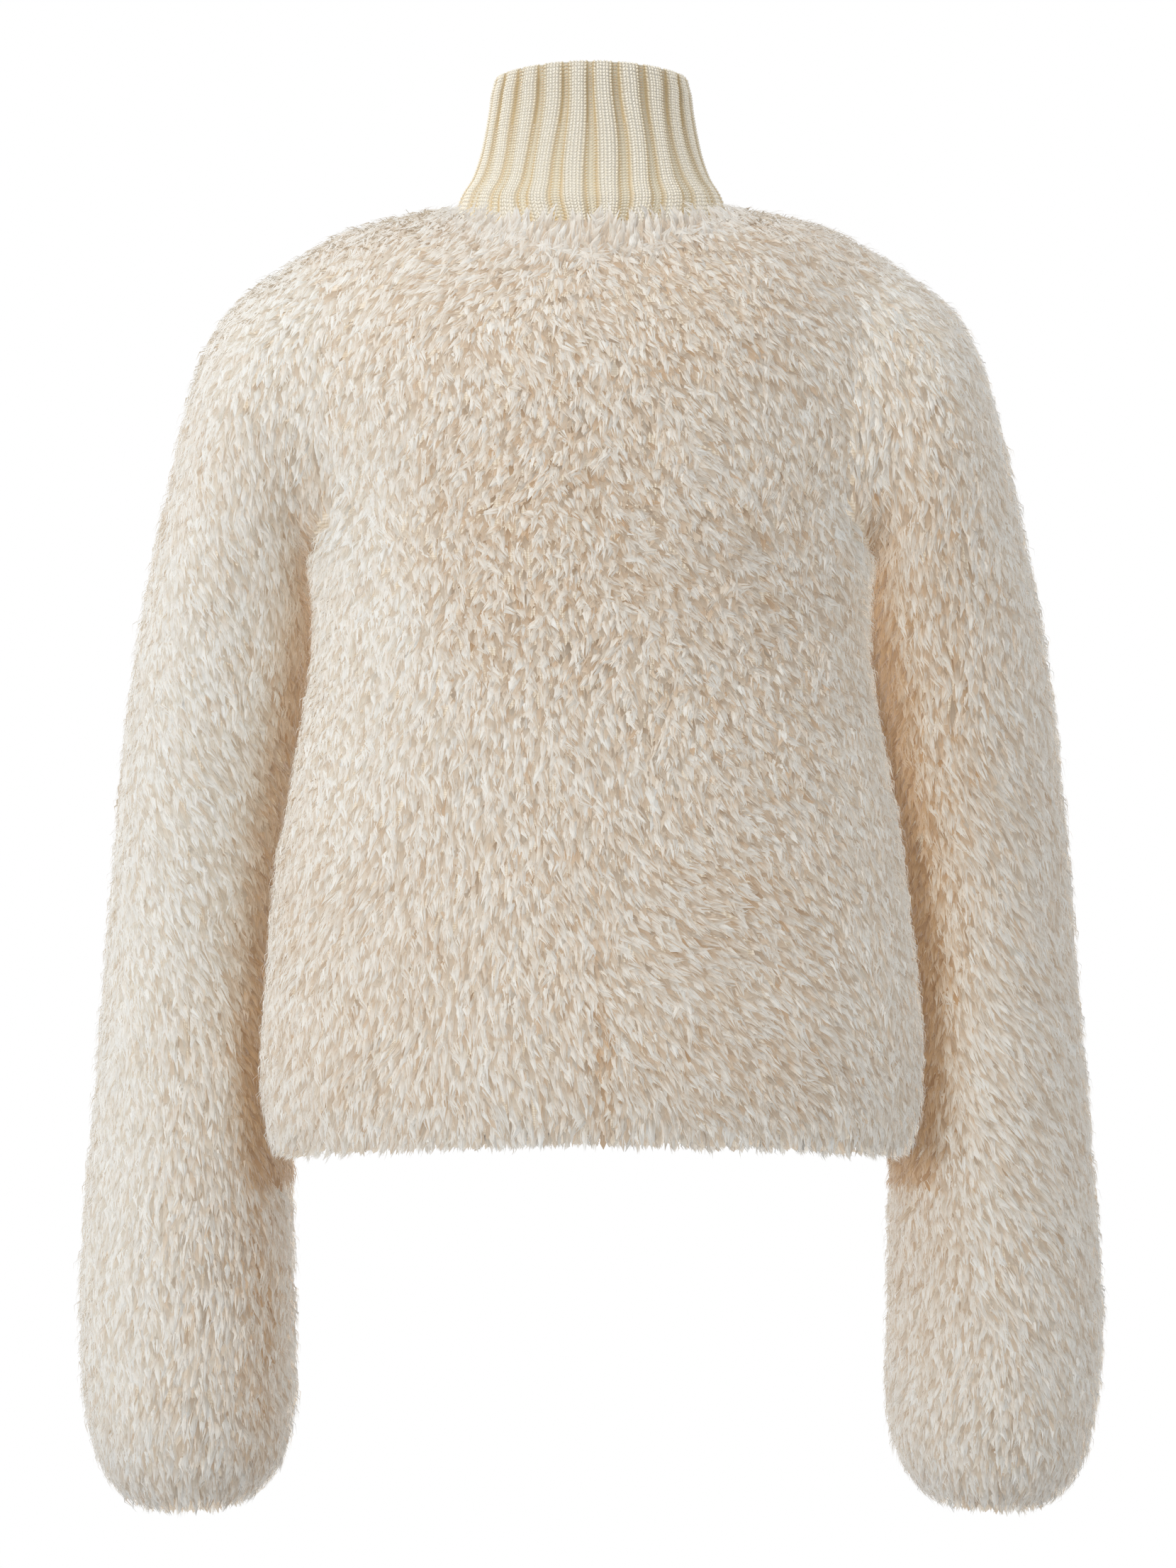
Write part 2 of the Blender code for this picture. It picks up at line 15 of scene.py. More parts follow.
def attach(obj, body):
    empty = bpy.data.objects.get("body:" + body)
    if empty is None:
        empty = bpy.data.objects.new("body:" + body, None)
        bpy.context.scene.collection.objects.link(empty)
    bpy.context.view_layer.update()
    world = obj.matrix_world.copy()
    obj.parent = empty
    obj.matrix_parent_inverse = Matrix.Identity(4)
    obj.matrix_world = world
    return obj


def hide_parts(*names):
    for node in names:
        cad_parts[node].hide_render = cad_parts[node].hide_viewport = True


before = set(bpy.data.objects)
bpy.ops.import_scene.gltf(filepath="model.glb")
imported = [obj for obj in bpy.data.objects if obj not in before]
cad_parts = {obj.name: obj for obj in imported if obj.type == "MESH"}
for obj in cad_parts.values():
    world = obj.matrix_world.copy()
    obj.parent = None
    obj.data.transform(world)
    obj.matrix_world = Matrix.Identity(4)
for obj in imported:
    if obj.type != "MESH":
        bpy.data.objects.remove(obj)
bpy.context.view_layer.update()
MM = 0.001

# ---------------------------------------- the view of the back
# The garment is seen square from behind, at the height of its middle and from three metres away. Nothing
# is seen of the ground in the picture, so there is no floor.

LENS = 122.06  # mm, so the garment fills the picture as it does in the photograph
CAMERA_PLACE = (0.0018, 3.0, -0.3264)
GARMENT_MIDDLE = Vector((0, 0, -0.33))
camera_data = bpy.data.cameras.new("camera")
camera_data.lens = LENS
camera = bpy.data.objects.new("camera", camera_data)
camera.location = CAMERA_PLACE
camera.rotation_euler = (math.radians(90), 0, math.radians(180))
bpy.context.scene.collection.objects.link(camera)
bpy.context.scene.camera = camera
bpy.context.scene.view_settings.view_transform = "Standard"


def linear(hex_colour):
    """A colour's linear values, from its sRGB hex digits."""
    parts = [int(hex_colour[i : i + 2], 16) / 255 for i in (1, 3, 5)]
    return (*(p / 12.92 if p <= 0.04045 else ((p + 0.055) / 1.055) ** 2.4 for p in parts), 1.0)


def output_of(source):
    """The output that a source tells: a node, for its first output, or a pair of a node and another one."""
    node, output = source if isinstance(source, tuple) else (source, 0)
    return node.outputs[output]


def add_node(kind, links, values=(), **settings):
    """A shader node, from pairs of a socket and its source and pairs of a socket and its value."""
    tree = output_of(links[0][1]).id_data
    node = tree.nodes.new(kind)
    for key, value in settings.items():
        setattr(node, key, value)
    for socket, value in values:
        node.inputs[socket].default_value = value
    for socket, source in links:
        tree.links.new(output_of(source), node.inputs[socket])
    return node


def add_maths(operation, *terms):
    """A maths node, whose terms are numbers or sources."""
    values = [(i, term) for i, term in enumerate(terms) if isinstance(term, (int, float))]
    links = [(i, term) for i, term in enumerate(terms) if not isinstance(term, (int, float))]
    return add_node("ShaderNodeMath", links, values, operation=operation)


def add_wave(source, turns):
    """A sine wave that turns this many times as a source goes from 0 to 1."""
    return add_maths("SINE", add_maths("MULTIPLY", source, 2 * math.pi * turns))


def add_range(source, given, wanted, **settings):
    """Takes a source from the two values that are given to the two that are wanted."""
    values = zip(("From Min", "From Max", "To Min", "To Max"), (*given, *wanted))
    return add_node("ShaderNodeMapRange", [("Value", source)], values, **settings)


def add_ramp(source, *steps):
    """A colour ramp, whose steps are a place from 0 to 1 and a colour each."""
    ramp = add_node("ShaderNodeValToRGB", [("Fac", source)])
    elements = ramp.color_ramp.elements
    elements.remove(elements[1])
    elements[0].position, elements[0].color = steps[0][0], linear(steps[0][1])
    for place, colour in steps[1:]:
        elements.new(place).color = linear(colour)
    return ramp


def add_mix(blend, first, second, *factor):
    """Two colours' sources mixed or multiplied. Factor is a third source, and without one it is 1."""
    links = list(zip((6, 7, "Factor"), (first, second, *factor)))
    return add_node("ShaderNodeMix", links, [("Factor", 1.0)], data_type="RGBA", blend_type=blend), 2


def add_noise(dimensions, source, scale, detail):
    """A noise over the places that a source tells."""
    links = [("W" if dimensions == "1D" else "Vector", source)]
    values = [("Scale", scale), ("Detail", detail)]
    return add_node("ShaderNodeTexNoise", links, values, noise_dimensions=dimensions)


def add_split(source):
    """A node that gives the directions of a place apart, as X, Y and Z."""
    return add_node("ShaderNodeSeparateXYZ", [("Vector", source)])


def new_material(name, *values):
    """A material with pairs of a socket and its value for its surface, and the node that reads its map."""
    material = bpy.data.materials.new(name)
    material.use_nodes = True
    for socket, value in values:
        material.node_tree.nodes["Principled BSDF"].inputs[socket].default_value = value
    place = material.node_tree.nodes.new("ShaderNodeUVMap")
    place.uv_map = "OFBake"
    return material, place


def finish_with(colour, relief, bump, given, wanted):
    """Gives a surface its colour, and its bumps and its roughness from one relief.

    Bump is their strength and distance, and the roughness goes from given to wanted as add_range does.
    """
    bumps = add_node("ShaderNodeBump", [("Height", relief)], zip(("Strength", "Distance"), bump))
    rough = add_range(relief, given, wanted)
    tree = output_of(colour).id_data
    for socket, source in (("Base Color", colour), ("Normal", bumps), ("Roughness", rough)):
        tree.links.new(output_of(source), tree.nodes["Principled BSDF"].inputs[socket])


def new_piece(name, points, faces, material):
    """A smooth mesh object from arrays of points and of faces that all have the same number of corners."""
    faces = np.asarray(faces)
    mesh = bpy.data.meshes.new(name)
    mesh.vertices.add(len(points))
    mesh.vertices.foreach_set("co", np.asarray(points, np.float32).ravel())
    mesh.loops.add(faces.size)
    mesh.loops.foreach_set("vertex_index", faces.astype(np.int32).ravel())
    mesh.polygons.add(len(faces))
    starts = np.arange(0, faces.size, faces.shape[1], dtype=np.int32)
    mesh.polygons.foreach_set("loop_start", starts)
    mesh.update(calc_edges=True)
    mesh.materials.append(material)
    piece = bpy.data.objects.new(name, mesh)
    bpy.context.scene.collection.objects.link(piece)
    return piece


# Soft boxes: the key stands high on the picture's left, the others fill in from round about
SOFT_BOXES = (
    ("key_light", (2.4, 1.7, 0.9), 1.6, 42),
    ("fill_light", (-2.0, 2.2, 0.2), 1.8, 9),
    ("camera_light", (0.8, 3.65, 0.3), 2.2, 37),
    ("top_light", (0.5, 0.3, 2.1), 1.5, 4),
    ("front_light", (-0.9, -2.6, 0.7), 1.8, 22),
)
for name, place, side, power in SOFT_BOXES:
    light = bpy.data.lights.new(name, "AREA")
    light.size = side
    light.energy = power
    lamp = bpy.data.objects.new(name, light)
    lamp.location = place
    lamp.rotation_euler = (GARMENT_MIDDLE - lamp.location).to_track_quat("-Z", "Y").to_euler()
    bpy.context.scene.collection.objects.link(lamp)

# The studio round it is white on the far side of the garment and pale grey on the near side
world = bpy.data.worlds.new("studio")
world.use_nodes = True
studio = world.node_tree.nodes["Background"]
studio.inputs["Color"].default_value = linear("#FFFFFF")
direction = world.node_tree.nodes.new("ShaderNodeTexCoord")
towards = (add_split((direction, "Generated")), "Y")
studio_light = add_range(towards, (-0.75, 0.2), (1.0, 0.45), interpolation_type="SMOOTHSTEP")
world.node_tree.links.new(studio_light.outputs["Result"], studio.inputs["Strength"])
bpy.context.scene.world = world

# ---------------------------------------- the pile cloth
# A back, two fronts and two sleeves in knitted fur: a thin jersey backing that holds deep soft locks of
# pile. The pieces are sewn together pile to pile, and the hem and cuffs are turned under.

PILE_PIECES = ("back", "front_left", "front_right", "sleeve_left", "sleeve_right")
BACKING_THICK = 2.0 * MM
ROUNDING = 0.6  # of the way out to the curve, for a new point between two
HEM_TURN = 7 * MM  # the backing's turned edge lies this far above the ends of the fringe
SHARP_EDGE = math.radians(50)  # between a wall's sides and its rims


def kind_of(node):
    """Back, front or sleeve."""
    return node.split("_")[0]


def unit(vectors):
    return vectors / np.maximum(np.linalg.norm(vectors, axis=-1, keepdims=True), 1e-12)


def dot(a, b):
    return np.sum(a * b, axis=-1, keepdims=True)


def wall_parts(node):
    """A wall node's points, and the triangles of its outer side, its inner side and each of its rims."""
    bm = bmesh.new()
    bm.from_mesh(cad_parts[node].data)
    bmesh.ops.remove_doubles(bm, verts=bm.verts, dist=1e-6)
    bm.faces.ensure_lookup_table()
    bm.verts.index_update()
    bm.normal_update()
    part_of, parts = {}, []
    for first in bm.faces:
        if first.index in part_of:
            continue
        part_of[first.index] = len(parts)
        found, waiting = [], [first]
        while waiting:
            face = waiting.pop()
            found.append(face.index)
            for edge in face.edges:
                for other in edge.link_faces:
                    turn = face.normal.angle(other.normal, math.pi)
                    if other.index not in part_of and turn < SHARP_EDGE:
                        part_of[other.index] = len(parts)
                        waiting.append(other)
        parts.append(sorted(found))
    parts.sort(key=lambda part: -sum(bm.faces[i].calc_area() for i in part))
    points = np.array([v.co for v in bm.verts])
    faces = [np.array([[v.index for v in bm.faces[i].verts] for i in part]) for part in parts]
    bm.free()
    return points, faces


def one_side(points, faces):
    """Only the points that these triangles use, with their normals, and the triangles."""
    used, faces = np.unique(faces, return_inverse=True)
    points, faces = points[used], faces.reshape(-1, 3)
    a, b, c = points[faces].transpose(1, 0, 2)
    normals = np.zeros_like(points)
    for corner in faces.T:
        np.add.at(normals, corner, np.cross(b - a, c - a))
    return points, unit(normals), faces


def rounded(points, normals, faces):
    """Each triangle split in four, and its new points moved out towards the curve that its corners tell."""
    ends = np.sort(faces[:, [0, 1, 1, 2, 2, 0]].reshape(-1, 2), axis=1)
    edges, where = np.unique(ends, axis=0, return_inverse=True)
    (a, b), (na, nb) = points[edges].transpose(1, 0, 2), normals[edges].transpose(1, 0, 2)
    middle = (a + b) / 2
    lift = (dot(middle - a, na) * na + dot(middle - b, nb) * nb) / 2
    where = where.reshape(-1, 3) + len(points)
    (v0, v1, v2), (m0, m1, m2) = faces.T, where.T
    quarters = [(v0, m0, m2), (m0, v1, m1), (m2, m1, v2), (m0, m1, m2)]
    faces = np.concatenate([np.stack(q, axis=1) for q in quarters])
    return np.concatenate([points, middle - ROUNDING * lift]), np.concatenate([normals, unit(na + nb)]), faces


def border_of(faces):
    """The directed edges that only one triangle has."""
    steps = faces[:, [0, 1, 1, 2, 2, 0]].reshape(-1, 2)
    there = {tuple(step) for step in steps}
    return np.array([step for step in steps if (step[1], step[0]) not in there])


# Brushed jersey backing in natural and tan yarn, seen between the locks: matt, with fine columns of knit
backing_knit, knit_place = new_material(
    "brushed_jersey_backing", ("Sheen Weight", 0.25), ("Specular IOR Level", 0.2)
)
WALE, COURSE = 1.9, 1.5  # mm from column to column and from row to row, drawn coarser than real so they show
MAP_ROUND, MAP_UP = 430, 600  # mm, about what the map's two directions cover: round a piece and up it
knit_split = add_split(knit_place)
column_wave = add_wave((knit_split, "X"), MAP_ROUND / WALE)
row_wave = add_wave((knit_split, "Y"), MAP_UP / COURSE)
knit_height = add_maths("MULTIPLY_ADD", row_wave, 0.5, column_wave)
HEIGHTS = (-1.5, 1.5)  # the least and the most that the two waves come to
knit_share = add_range(knit_height, HEIGHTS, (0, 1))
knit_colour = add_ramp(knit_share, (0, "#D2BFA4"), (1, "#F0E5D4"))
finish_with(knit_colour, knit_height, (0.5, 0.3 * MM), HEIGHTS, (0.98, 0.85))

# Tan wool matted over the backing's bare side, towards the wearer: dull and felted in clumps of 2 mm
matted_wool, wool_place = new_material("matted_tan_wool", ("Sheen Weight", 0.3), ("Specular IOR Level", 0.1))
wool_clumps = add_noise("2D", wool_place, 240, 3)
wool_colour = add_ramp(wool_clumps, (0.3, "#A07C57"), (0.7, "#CBAF8C"))
finish_with(wool_colour, wool_clumps, (0.8, 0.8 * MM), (0, 1), (0.85, 1.0))


def set_map(piece, places):
    """Gives a piece its map, from one place for each of its points."""
    corners = np.empty(len(piece.data.loops), np.int32)
    piece.data.loops.foreach_get("vertex_index", corners)
    layer = piece.data.uv_layers.new(name="OFBake")
    layer.uv.foreach_set("vector", np.asarray(places, np.float32)[corners].ravel())


def add_backing(node, side):
    """The jersey under the pile, on the wall's inner side, with its hem or cuff edge turned up."""
    points, normals, faces = side
    points = points.copy()
    ends = np.unique(border_of(faces))
    low = ends[points[ends, 2] < LOW_EDGE[kind_of(node)]]
    points[low, 2] += HEM_TURN
    points, normals, faces = rounded(points, normals, faces)
    border = border_of(faces)
    count = len(points)
    under = points - normals * BACKING_THICK
    rim = [(b, a, a + count) for a, b in border] + [(b, a + count, b + count) for a, b in border]
    shell = np.concatenate([faces, faces[:, ::-1] + count, rim])
    piece = new_piece(f"{node}_backing", np.concatenate([points, under]), shell, backing_knit)
    piece.data.materials.append(matted_wool)
    piece.data.polygons.foreach_set("material_index", (np.arange(len(shell)) < len(faces)).astype(np.int32))
    middle = (points.min(0) + points.max(0)) / 2
    around = np.arctan2(points[:, 0] - middle[0] * (kind_of(node) == "sleeve"), points[:, 1] - middle[1])
    round_share = (around / (2 * math.pi)) % 1
    up = (points[:, 2] - points[:, 2].min()) / np.ptp(points[:, 2])
    set_map(piece, np.tile(np.stack([round_share, up], axis=1), (2, 1)))
    return piece


# Below these heights a border is a hem or a cuff
LOW_EDGE = {"back": -0.5, "front": -0.5, "sleeve": -0.7}
walls = {node: wall_parts(node) for node in PILE_PIECES}
inner_sides = {node: one_side(points, parts[1]) for node, (points, parts) in walls.items()}
backings = {node: add_backing(node, inner_sides[node]) for node in PILE_PIECES}

# Long-pile fibre, soft and silky: pale at its tips, tan where it stands in the backing, which is partly its
# own colour and partly painted shade deep in the pile. Its map runs from the root to the tip one way, and
# over the locks' own shades the other way, with a few hairs side by side.
pile_fibre, pile_place = new_material(
    "long_pile_fibre", ("Specular IOR Level", 0.25), ("Sheen Weight", 0.3), ("Sheen Roughness", 0.6)
)
# From root to tip, where the pile is shaded and rosy and where it is full and pale
ROSE_SHADE = ((0.0, "#966C43"), (0.4, "#C6A178"), (0.7, "#E1D1BC"), (1.0, "#F6F2E8"))
FULL_SHADE = ((0.0, "#CBB9A0"), (0.4, "#E6E0D3"), (0.66, "#F3F1EB"), (1.0, "#FBFCF9"))
pile_split = add_split(pile_place)
rose, full = (add_ramp((pile_split, "Y"), *steps) for steps in (ROSE_SHADE, FULL_SHADE))
pile_colour = add_mix("MIX", rose, full, (pile_split, "X"))
HAIR_SHARE = 0.006  # of the map's width, for each hair drawn within a strand
hair_place = add_maths("MULTIPLY", (pile_split, "X"), 1 / HAIR_SHARE)
hair_noise = add_noise("1D", hair_place, 1.0, 1.0)
hair_tone = add_range(hair_noise, (0.3, 0.7), (0.84, 1.0))
hair_colour = add_mix("MULTIPLY", pile_colour, hair_tone)
finish_with(hair_colour, hair_noise, (0.35, 0.2 * MM), (0, 1), (0.5, 0.75))

# How the pile lies: the node, 1 for its back face or -1 for its front face or 0 for both, then the middle
# of the place and its reach across and upwards in mm. Then how long its locks lie in mm, by how many degrees
# they turn about, by how many they lean towards -X from straight down, how plump they are from 0 for long
# and pointed to 1 for short and round, and from 0 to 1 how much of the pale shade they have. That shade is
# partly the pile's own tone and partly painted light and shade: paler on the left, where the key light falls,
# and darker on the sleeves' inner sides beside the body.
PILE_AREAS = (
    ("back", 1, (70, -90), (90, 60), 13, 16, -8, 0.6, 0.46),
    ("back", 1, (-60, -70), (80, 50), 13, 14, 28, 0.6, 0.38),
    ("back", 1, (20, -200), (70, 80), 10, 30, 8, 0.9, 0.34),
    ("back", 1, (-90, -260), (60, 110), 11, 24, 36, 0.9, 0.46),
    ("back", 1, (138, -230), (34, 160), 14, 10, 0, 0.5, 0.84),
    ("back", 1, (-160, -200), (30, 120), 15, 8, 30, 0.4, 0.60),
    ("back", 1, (110, -430), (80, 90), 18, 8, 2, 0.2, 0.50),
    ("back", 1, (10, -400), (40, 80), 15, 10, 14, 0.5, 0.46),
    ("back", 1, (-85, -405), (60, 55), 15, 9, 72, 0.5, 0.40),
    ("back", 1, (-90, -490), (70, 30), 14, 9, 44, 0.3, 0.42),
    ("back", 1, (-9, -475), (6, 60), 13, 5, 8, 0.3, 0.10),
    ("back", 1, (-175, -430), (18, 120), 17, 6, 4, 0.2, 0.60),
    ("back", 0, (0, -545), (300, 14), 14, 5, 0, 0.1, 0.82),
    ("sleeve_left", 0, (200, -40), (90, 60), 16, 6, -12, 0.2, 0.92),
    ("sleeve_left", 1, (230, -330), (40, 110), 17, 8, 26, 0.3, 0.96),
    ("sleeve_left", 1, (285, -450), (34, 240), 19, 5, 16, 0.1, 0.97),
    ("sleeve_left", 1, (205, -620), (26, 110), 20, 6, 4, 0.0, 0.62),
    ("sleeve_left", 1, (188, -620), (13, 100), 18, 6, 8, 0.0, 0.02),
    ("sleeve_right", 0, (-200, -40), (90, 60), 16, 6, 20, 0.2, 0.84),
    ("sleeve_right", 1, (-255, -430), (40, 190), 20, 5, 38, 0.0, 0.60),
    ("sleeve_right", 1, (-188, -380), (34, 190), 17, 7, 14, 0.2, 0.20),
    ("front_left", -1, (90, -260), (70, 140), 14, 14, -14, 0.6, 0.50),
    ("front_right", -1, (-90, -260), (70, 140), 14, 14, 14, 0.6, 0.50),
    ("front_left", 0, (90, -545), (200, 14), 14, 5, 0, 0.1, 0.66),
    ("front_right", 0, (-90, -545), (200, 14), 14, 5, 0, 0.1, 0.66),
)
USUAL_PILE = (17, 9, 0, 0.2, 0.72)  # the same five values elsewhere
PILE_DEPTH = 10.0 * MM
ROOT_DEPTH = 1.6  # mm from the backing's bare side to the roots, so they stand in the cloth
ROOT_RADIUS, LOCK_RADIUS, TIP_RADIUS = 1.5 * MM, 2.7 * MM, 1.1 * MM
STRANDS = 9
LOCKS = {"back": 7000, "front": 3500, "sleeve": 8000}
UNDERFUR = 3.3  # single strands of the woollier coat beneath, for each lock
RIM_SHARE = 0.035  # of a piece's pile grows on its hem or cuff
ARMPIT, ARMPIT_REACH = (160 * MM, -214 * MM), (0.016, 0.03)  # from the middle to each side, and the height
ARM_HEIGHT, BODY_END = -0.165, -0.565  # between these heights a sleeve hangs by the body
NECK_REACH = 0.1  # from the middle of the neck to where the pile starts to stand up
PACKING = 0.58  # the square of the least distance of even places, as a part of the ground that each has
TRIES = 7  # random places that are tried for each that is kept
WAVES, WAVE_LENGTH, WAVE_SUM = 9, 2.2, 4.2  # in a swell: their length in reaches, and what they add up to


def tree_of(sides):
    """A search tree over the triangles of several pieces' sides."""
    points, faces, start = [], [], 0
    for side_points, _, side_faces in sides:
        points.append(side_points)
        faces.append(side_faces + start)
        start += len(side_points)
    return BVHTree.FromPolygons(np.concatenate(points).tolist(), np.concatenate(faces).tolist())


outer_sides = {node: one_side(points, parts[0]) for node, (points, parts) in walls.items()}
under_pile = tree_of(inner_sides.values())
body_tips = tree_of([outer_sides[node] for node in PILE_PIECES[:3]])
sleeve_tips = tree_of([outer_sides[node] for node in PILE_PIECES[3:]])
# How far the back reaches to the side, at heights from the hem up to the armpits
BODY_HEIGHTS = np.linspace(-550 * MM, -190 * MM, 19)
back_tips = outer_sides["back"][0]
half_widths = [np.abs(back_tips[np.abs(back_tips[:, 2] - z) < 30 * MM, 0]).max() for z in BODY_HEIGHTS]


def scattered(points, normals, faces, count, rng, evenly=True):
    """Up to this many places on a surface with their normals, spread at random or evenly."""
    a, b, c = points[faces].transpose(1, 0, 2)
    areas = np.linalg.norm(np.cross(b - a, c - a), axis=1) / 2
    spacing = math.sqrt(PACKING * areas.sum() / count)
    pick = rng.choice(len(faces), TRIES * count if evenly else count, p=areas / areas.sum())
    share = rng.random((len(pick), 2))
    share = np.where(share.sum(1, keepdims=True) > 1, 1 - share, share)
    share = np.concatenate([1 - share.sum(1, keepdims=True), share], axis=1)[:, :, None]
    places = (points[faces[pick]] * share).sum(1)
    around = unit((normals[faces[pick]] * share).sum(1))
    if not evenly:
        return places, around
    cells, kept = {}, []
    steps = [(i, j, k) for i in (-1, 0, 1) for j in (-1, 0, 1) for k in (-1, 0, 1)]
    cell_of = np.floor(places / spacing).astype(int).tolist()
    for index, (place, (i, j, k)) in enumerate(zip(places.tolist(), cell_of)):
        if len(kept) == count:
            break
        near = [p for x, y, z in steps for p in cells.get((i + x, j + y, k + z), ())]
        if all(math.dist(place, other) >= spacing for other in near):
            cells.setdefault((i, j, k), []).append(place)
            kept.append(index)
    return places[kept], around[kept]


def swell_of(places, reach, seed):
    """A smooth random value from -1 to 1 over the places, which changes over about this reach."""
    rng = np.random.default_rng(seed)
    waves = rng.normal(size=(WAVES, 3))
    waves = unit(waves) * rng.uniform(0.6, 1.4, (WAVES, 1)) * 2 * math.pi / (WAVE_LENGTH * reach)
    return np.sin(places @ waves.T + rng.uniform(0, 2 * math.pi, WAVES)).sum(1) / WAVE_SUM


def squares_off(x, z, middle, reach):
    """How far places are from a middle, from 0 there to 1 at its reach, squared."""
    return ((x - middle[0]) / reach[0]) ** 2 + ((z - middle[1]) / reach[1]) ** 2


def lay_of(node, tips, out, at_rim, rng):
    """The pile's direction at each place, its length, how plump, how pale, how much painted shade tans it and
    how lifted it is.
    """
    count = len(tips)
    total, kind = np.ones((count, 1)), np.tile(np.array(USUAL_PILE, float), (count, 1))
    for area_node, facing, middle, reach, *values in PILE_AREAS:
        if area_node == node:
            off = squares_off(tips[:, 0], tips[:, 2], np.multiply(middle, MM), np.multiply(reach, MM))
            weight = 5 * np.exp(-1.4 * off) * (np.clip(facing * out[:, 1] + 0.3, 0, 1) if facing else 1)
            total += weight[:, None]
            kind += weight[:, None] * np.array(values)
    length, turn, lean, plump, shade = (kind / total).T
    side_of = np.sign(tips[:, 0])
    on_top = np.clip(1 + tips[:, 2] / 0.1, 0, 1)
    off_ridge = 0.25 * np.sign(tips[:, 1]) * on_top
    down = np.stack([-np.tan(np.radians(lean)), off_ridge, -np.ones(count)], axis=1)
    down[:, 0] += 0.5 * side_of * on_top
    # Where a sleeve hangs by the body its pile gets painted shade, tan and darker, and the body's pale edge
    # brushes over it
    sleeve = kind_of(node) == "sleeve"
    gap = np.array([(body_tips if sleeve else sleeve_tips).find_nearest(tip)[3] for tip in tips])
    below_arm = np.clip((ARM_HEIGHT - tips[:, 2]) / 0.04, 0, 1)
    close = np.exp(-((gap / (15 * MM)) ** 2)) * below_arm
    past_edge = np.clip(np.abs(tips[:, 0]) - np.interp(tips[:, 2], BODY_HEIGHTS, half_widths), 0, 1)
    shaded = np.exp(-((past_edge / (12 * MM)) ** 2)) * below_arm * (tips[:, 2] > BODY_END) * sleeve
    down[:, 0] += side_of * close * (-0.7 if sleeve else 1.6)
    shade = shade + (-0.5 * np.maximum(close, shaded) if sleeve else 0.25 * close)
    # Round the neck it stands up against the collar
    from_axis = np.hypot(tips[:, 0], tips[:, 1])
    at_neck = np.clip((NECK_REACH - from_axis) / 0.024, 0, 1) * np.clip(1 + tips[:, 2] / 0.06, 0, 1)
    inwards = np.stack([-tips[:, 0] / from_axis, -tips[:, 1] / from_axis, np.full(count, 0.8)], axis=1)
    down = down * (1 - at_neck[:, None]) + 2 * inwards * at_neck[:, None]
    lie = unit(down - dot(down, out) * out)
    angle = np.radians(
        swell_of(tips, 0.045, 7) * (4 + 0.8 * turn)
        + swell_of(tips, 0.016, 8) * (3 + 0.7 * turn)
        + rng.normal(size=count) * (4 + (0.25 + 0.6 * plump) * turn)
    )[:, None]
    lie = lie * np.cos(angle) + np.cross(out, lie) * np.sin(angle)
    length *= rng.uniform(0.75, 1.2, count) * np.where(at_rim, 0.25, 1.0) * MM
    # In the armpits the pile of the sleeve and of the body meets
    off = squares_off(np.abs(tips[:, 0]), tips[:, 2], ARMPIT, ARMPIT_REACH)
    lift = (out * (4 * np.exp(-off) + 3 * at_neck)[:, None] + lie * 5 * at_neck[:, None]) * MM
    return lie, length, plump, shade, 0.12 * close * sleeve + 0.36 * shaded, lift


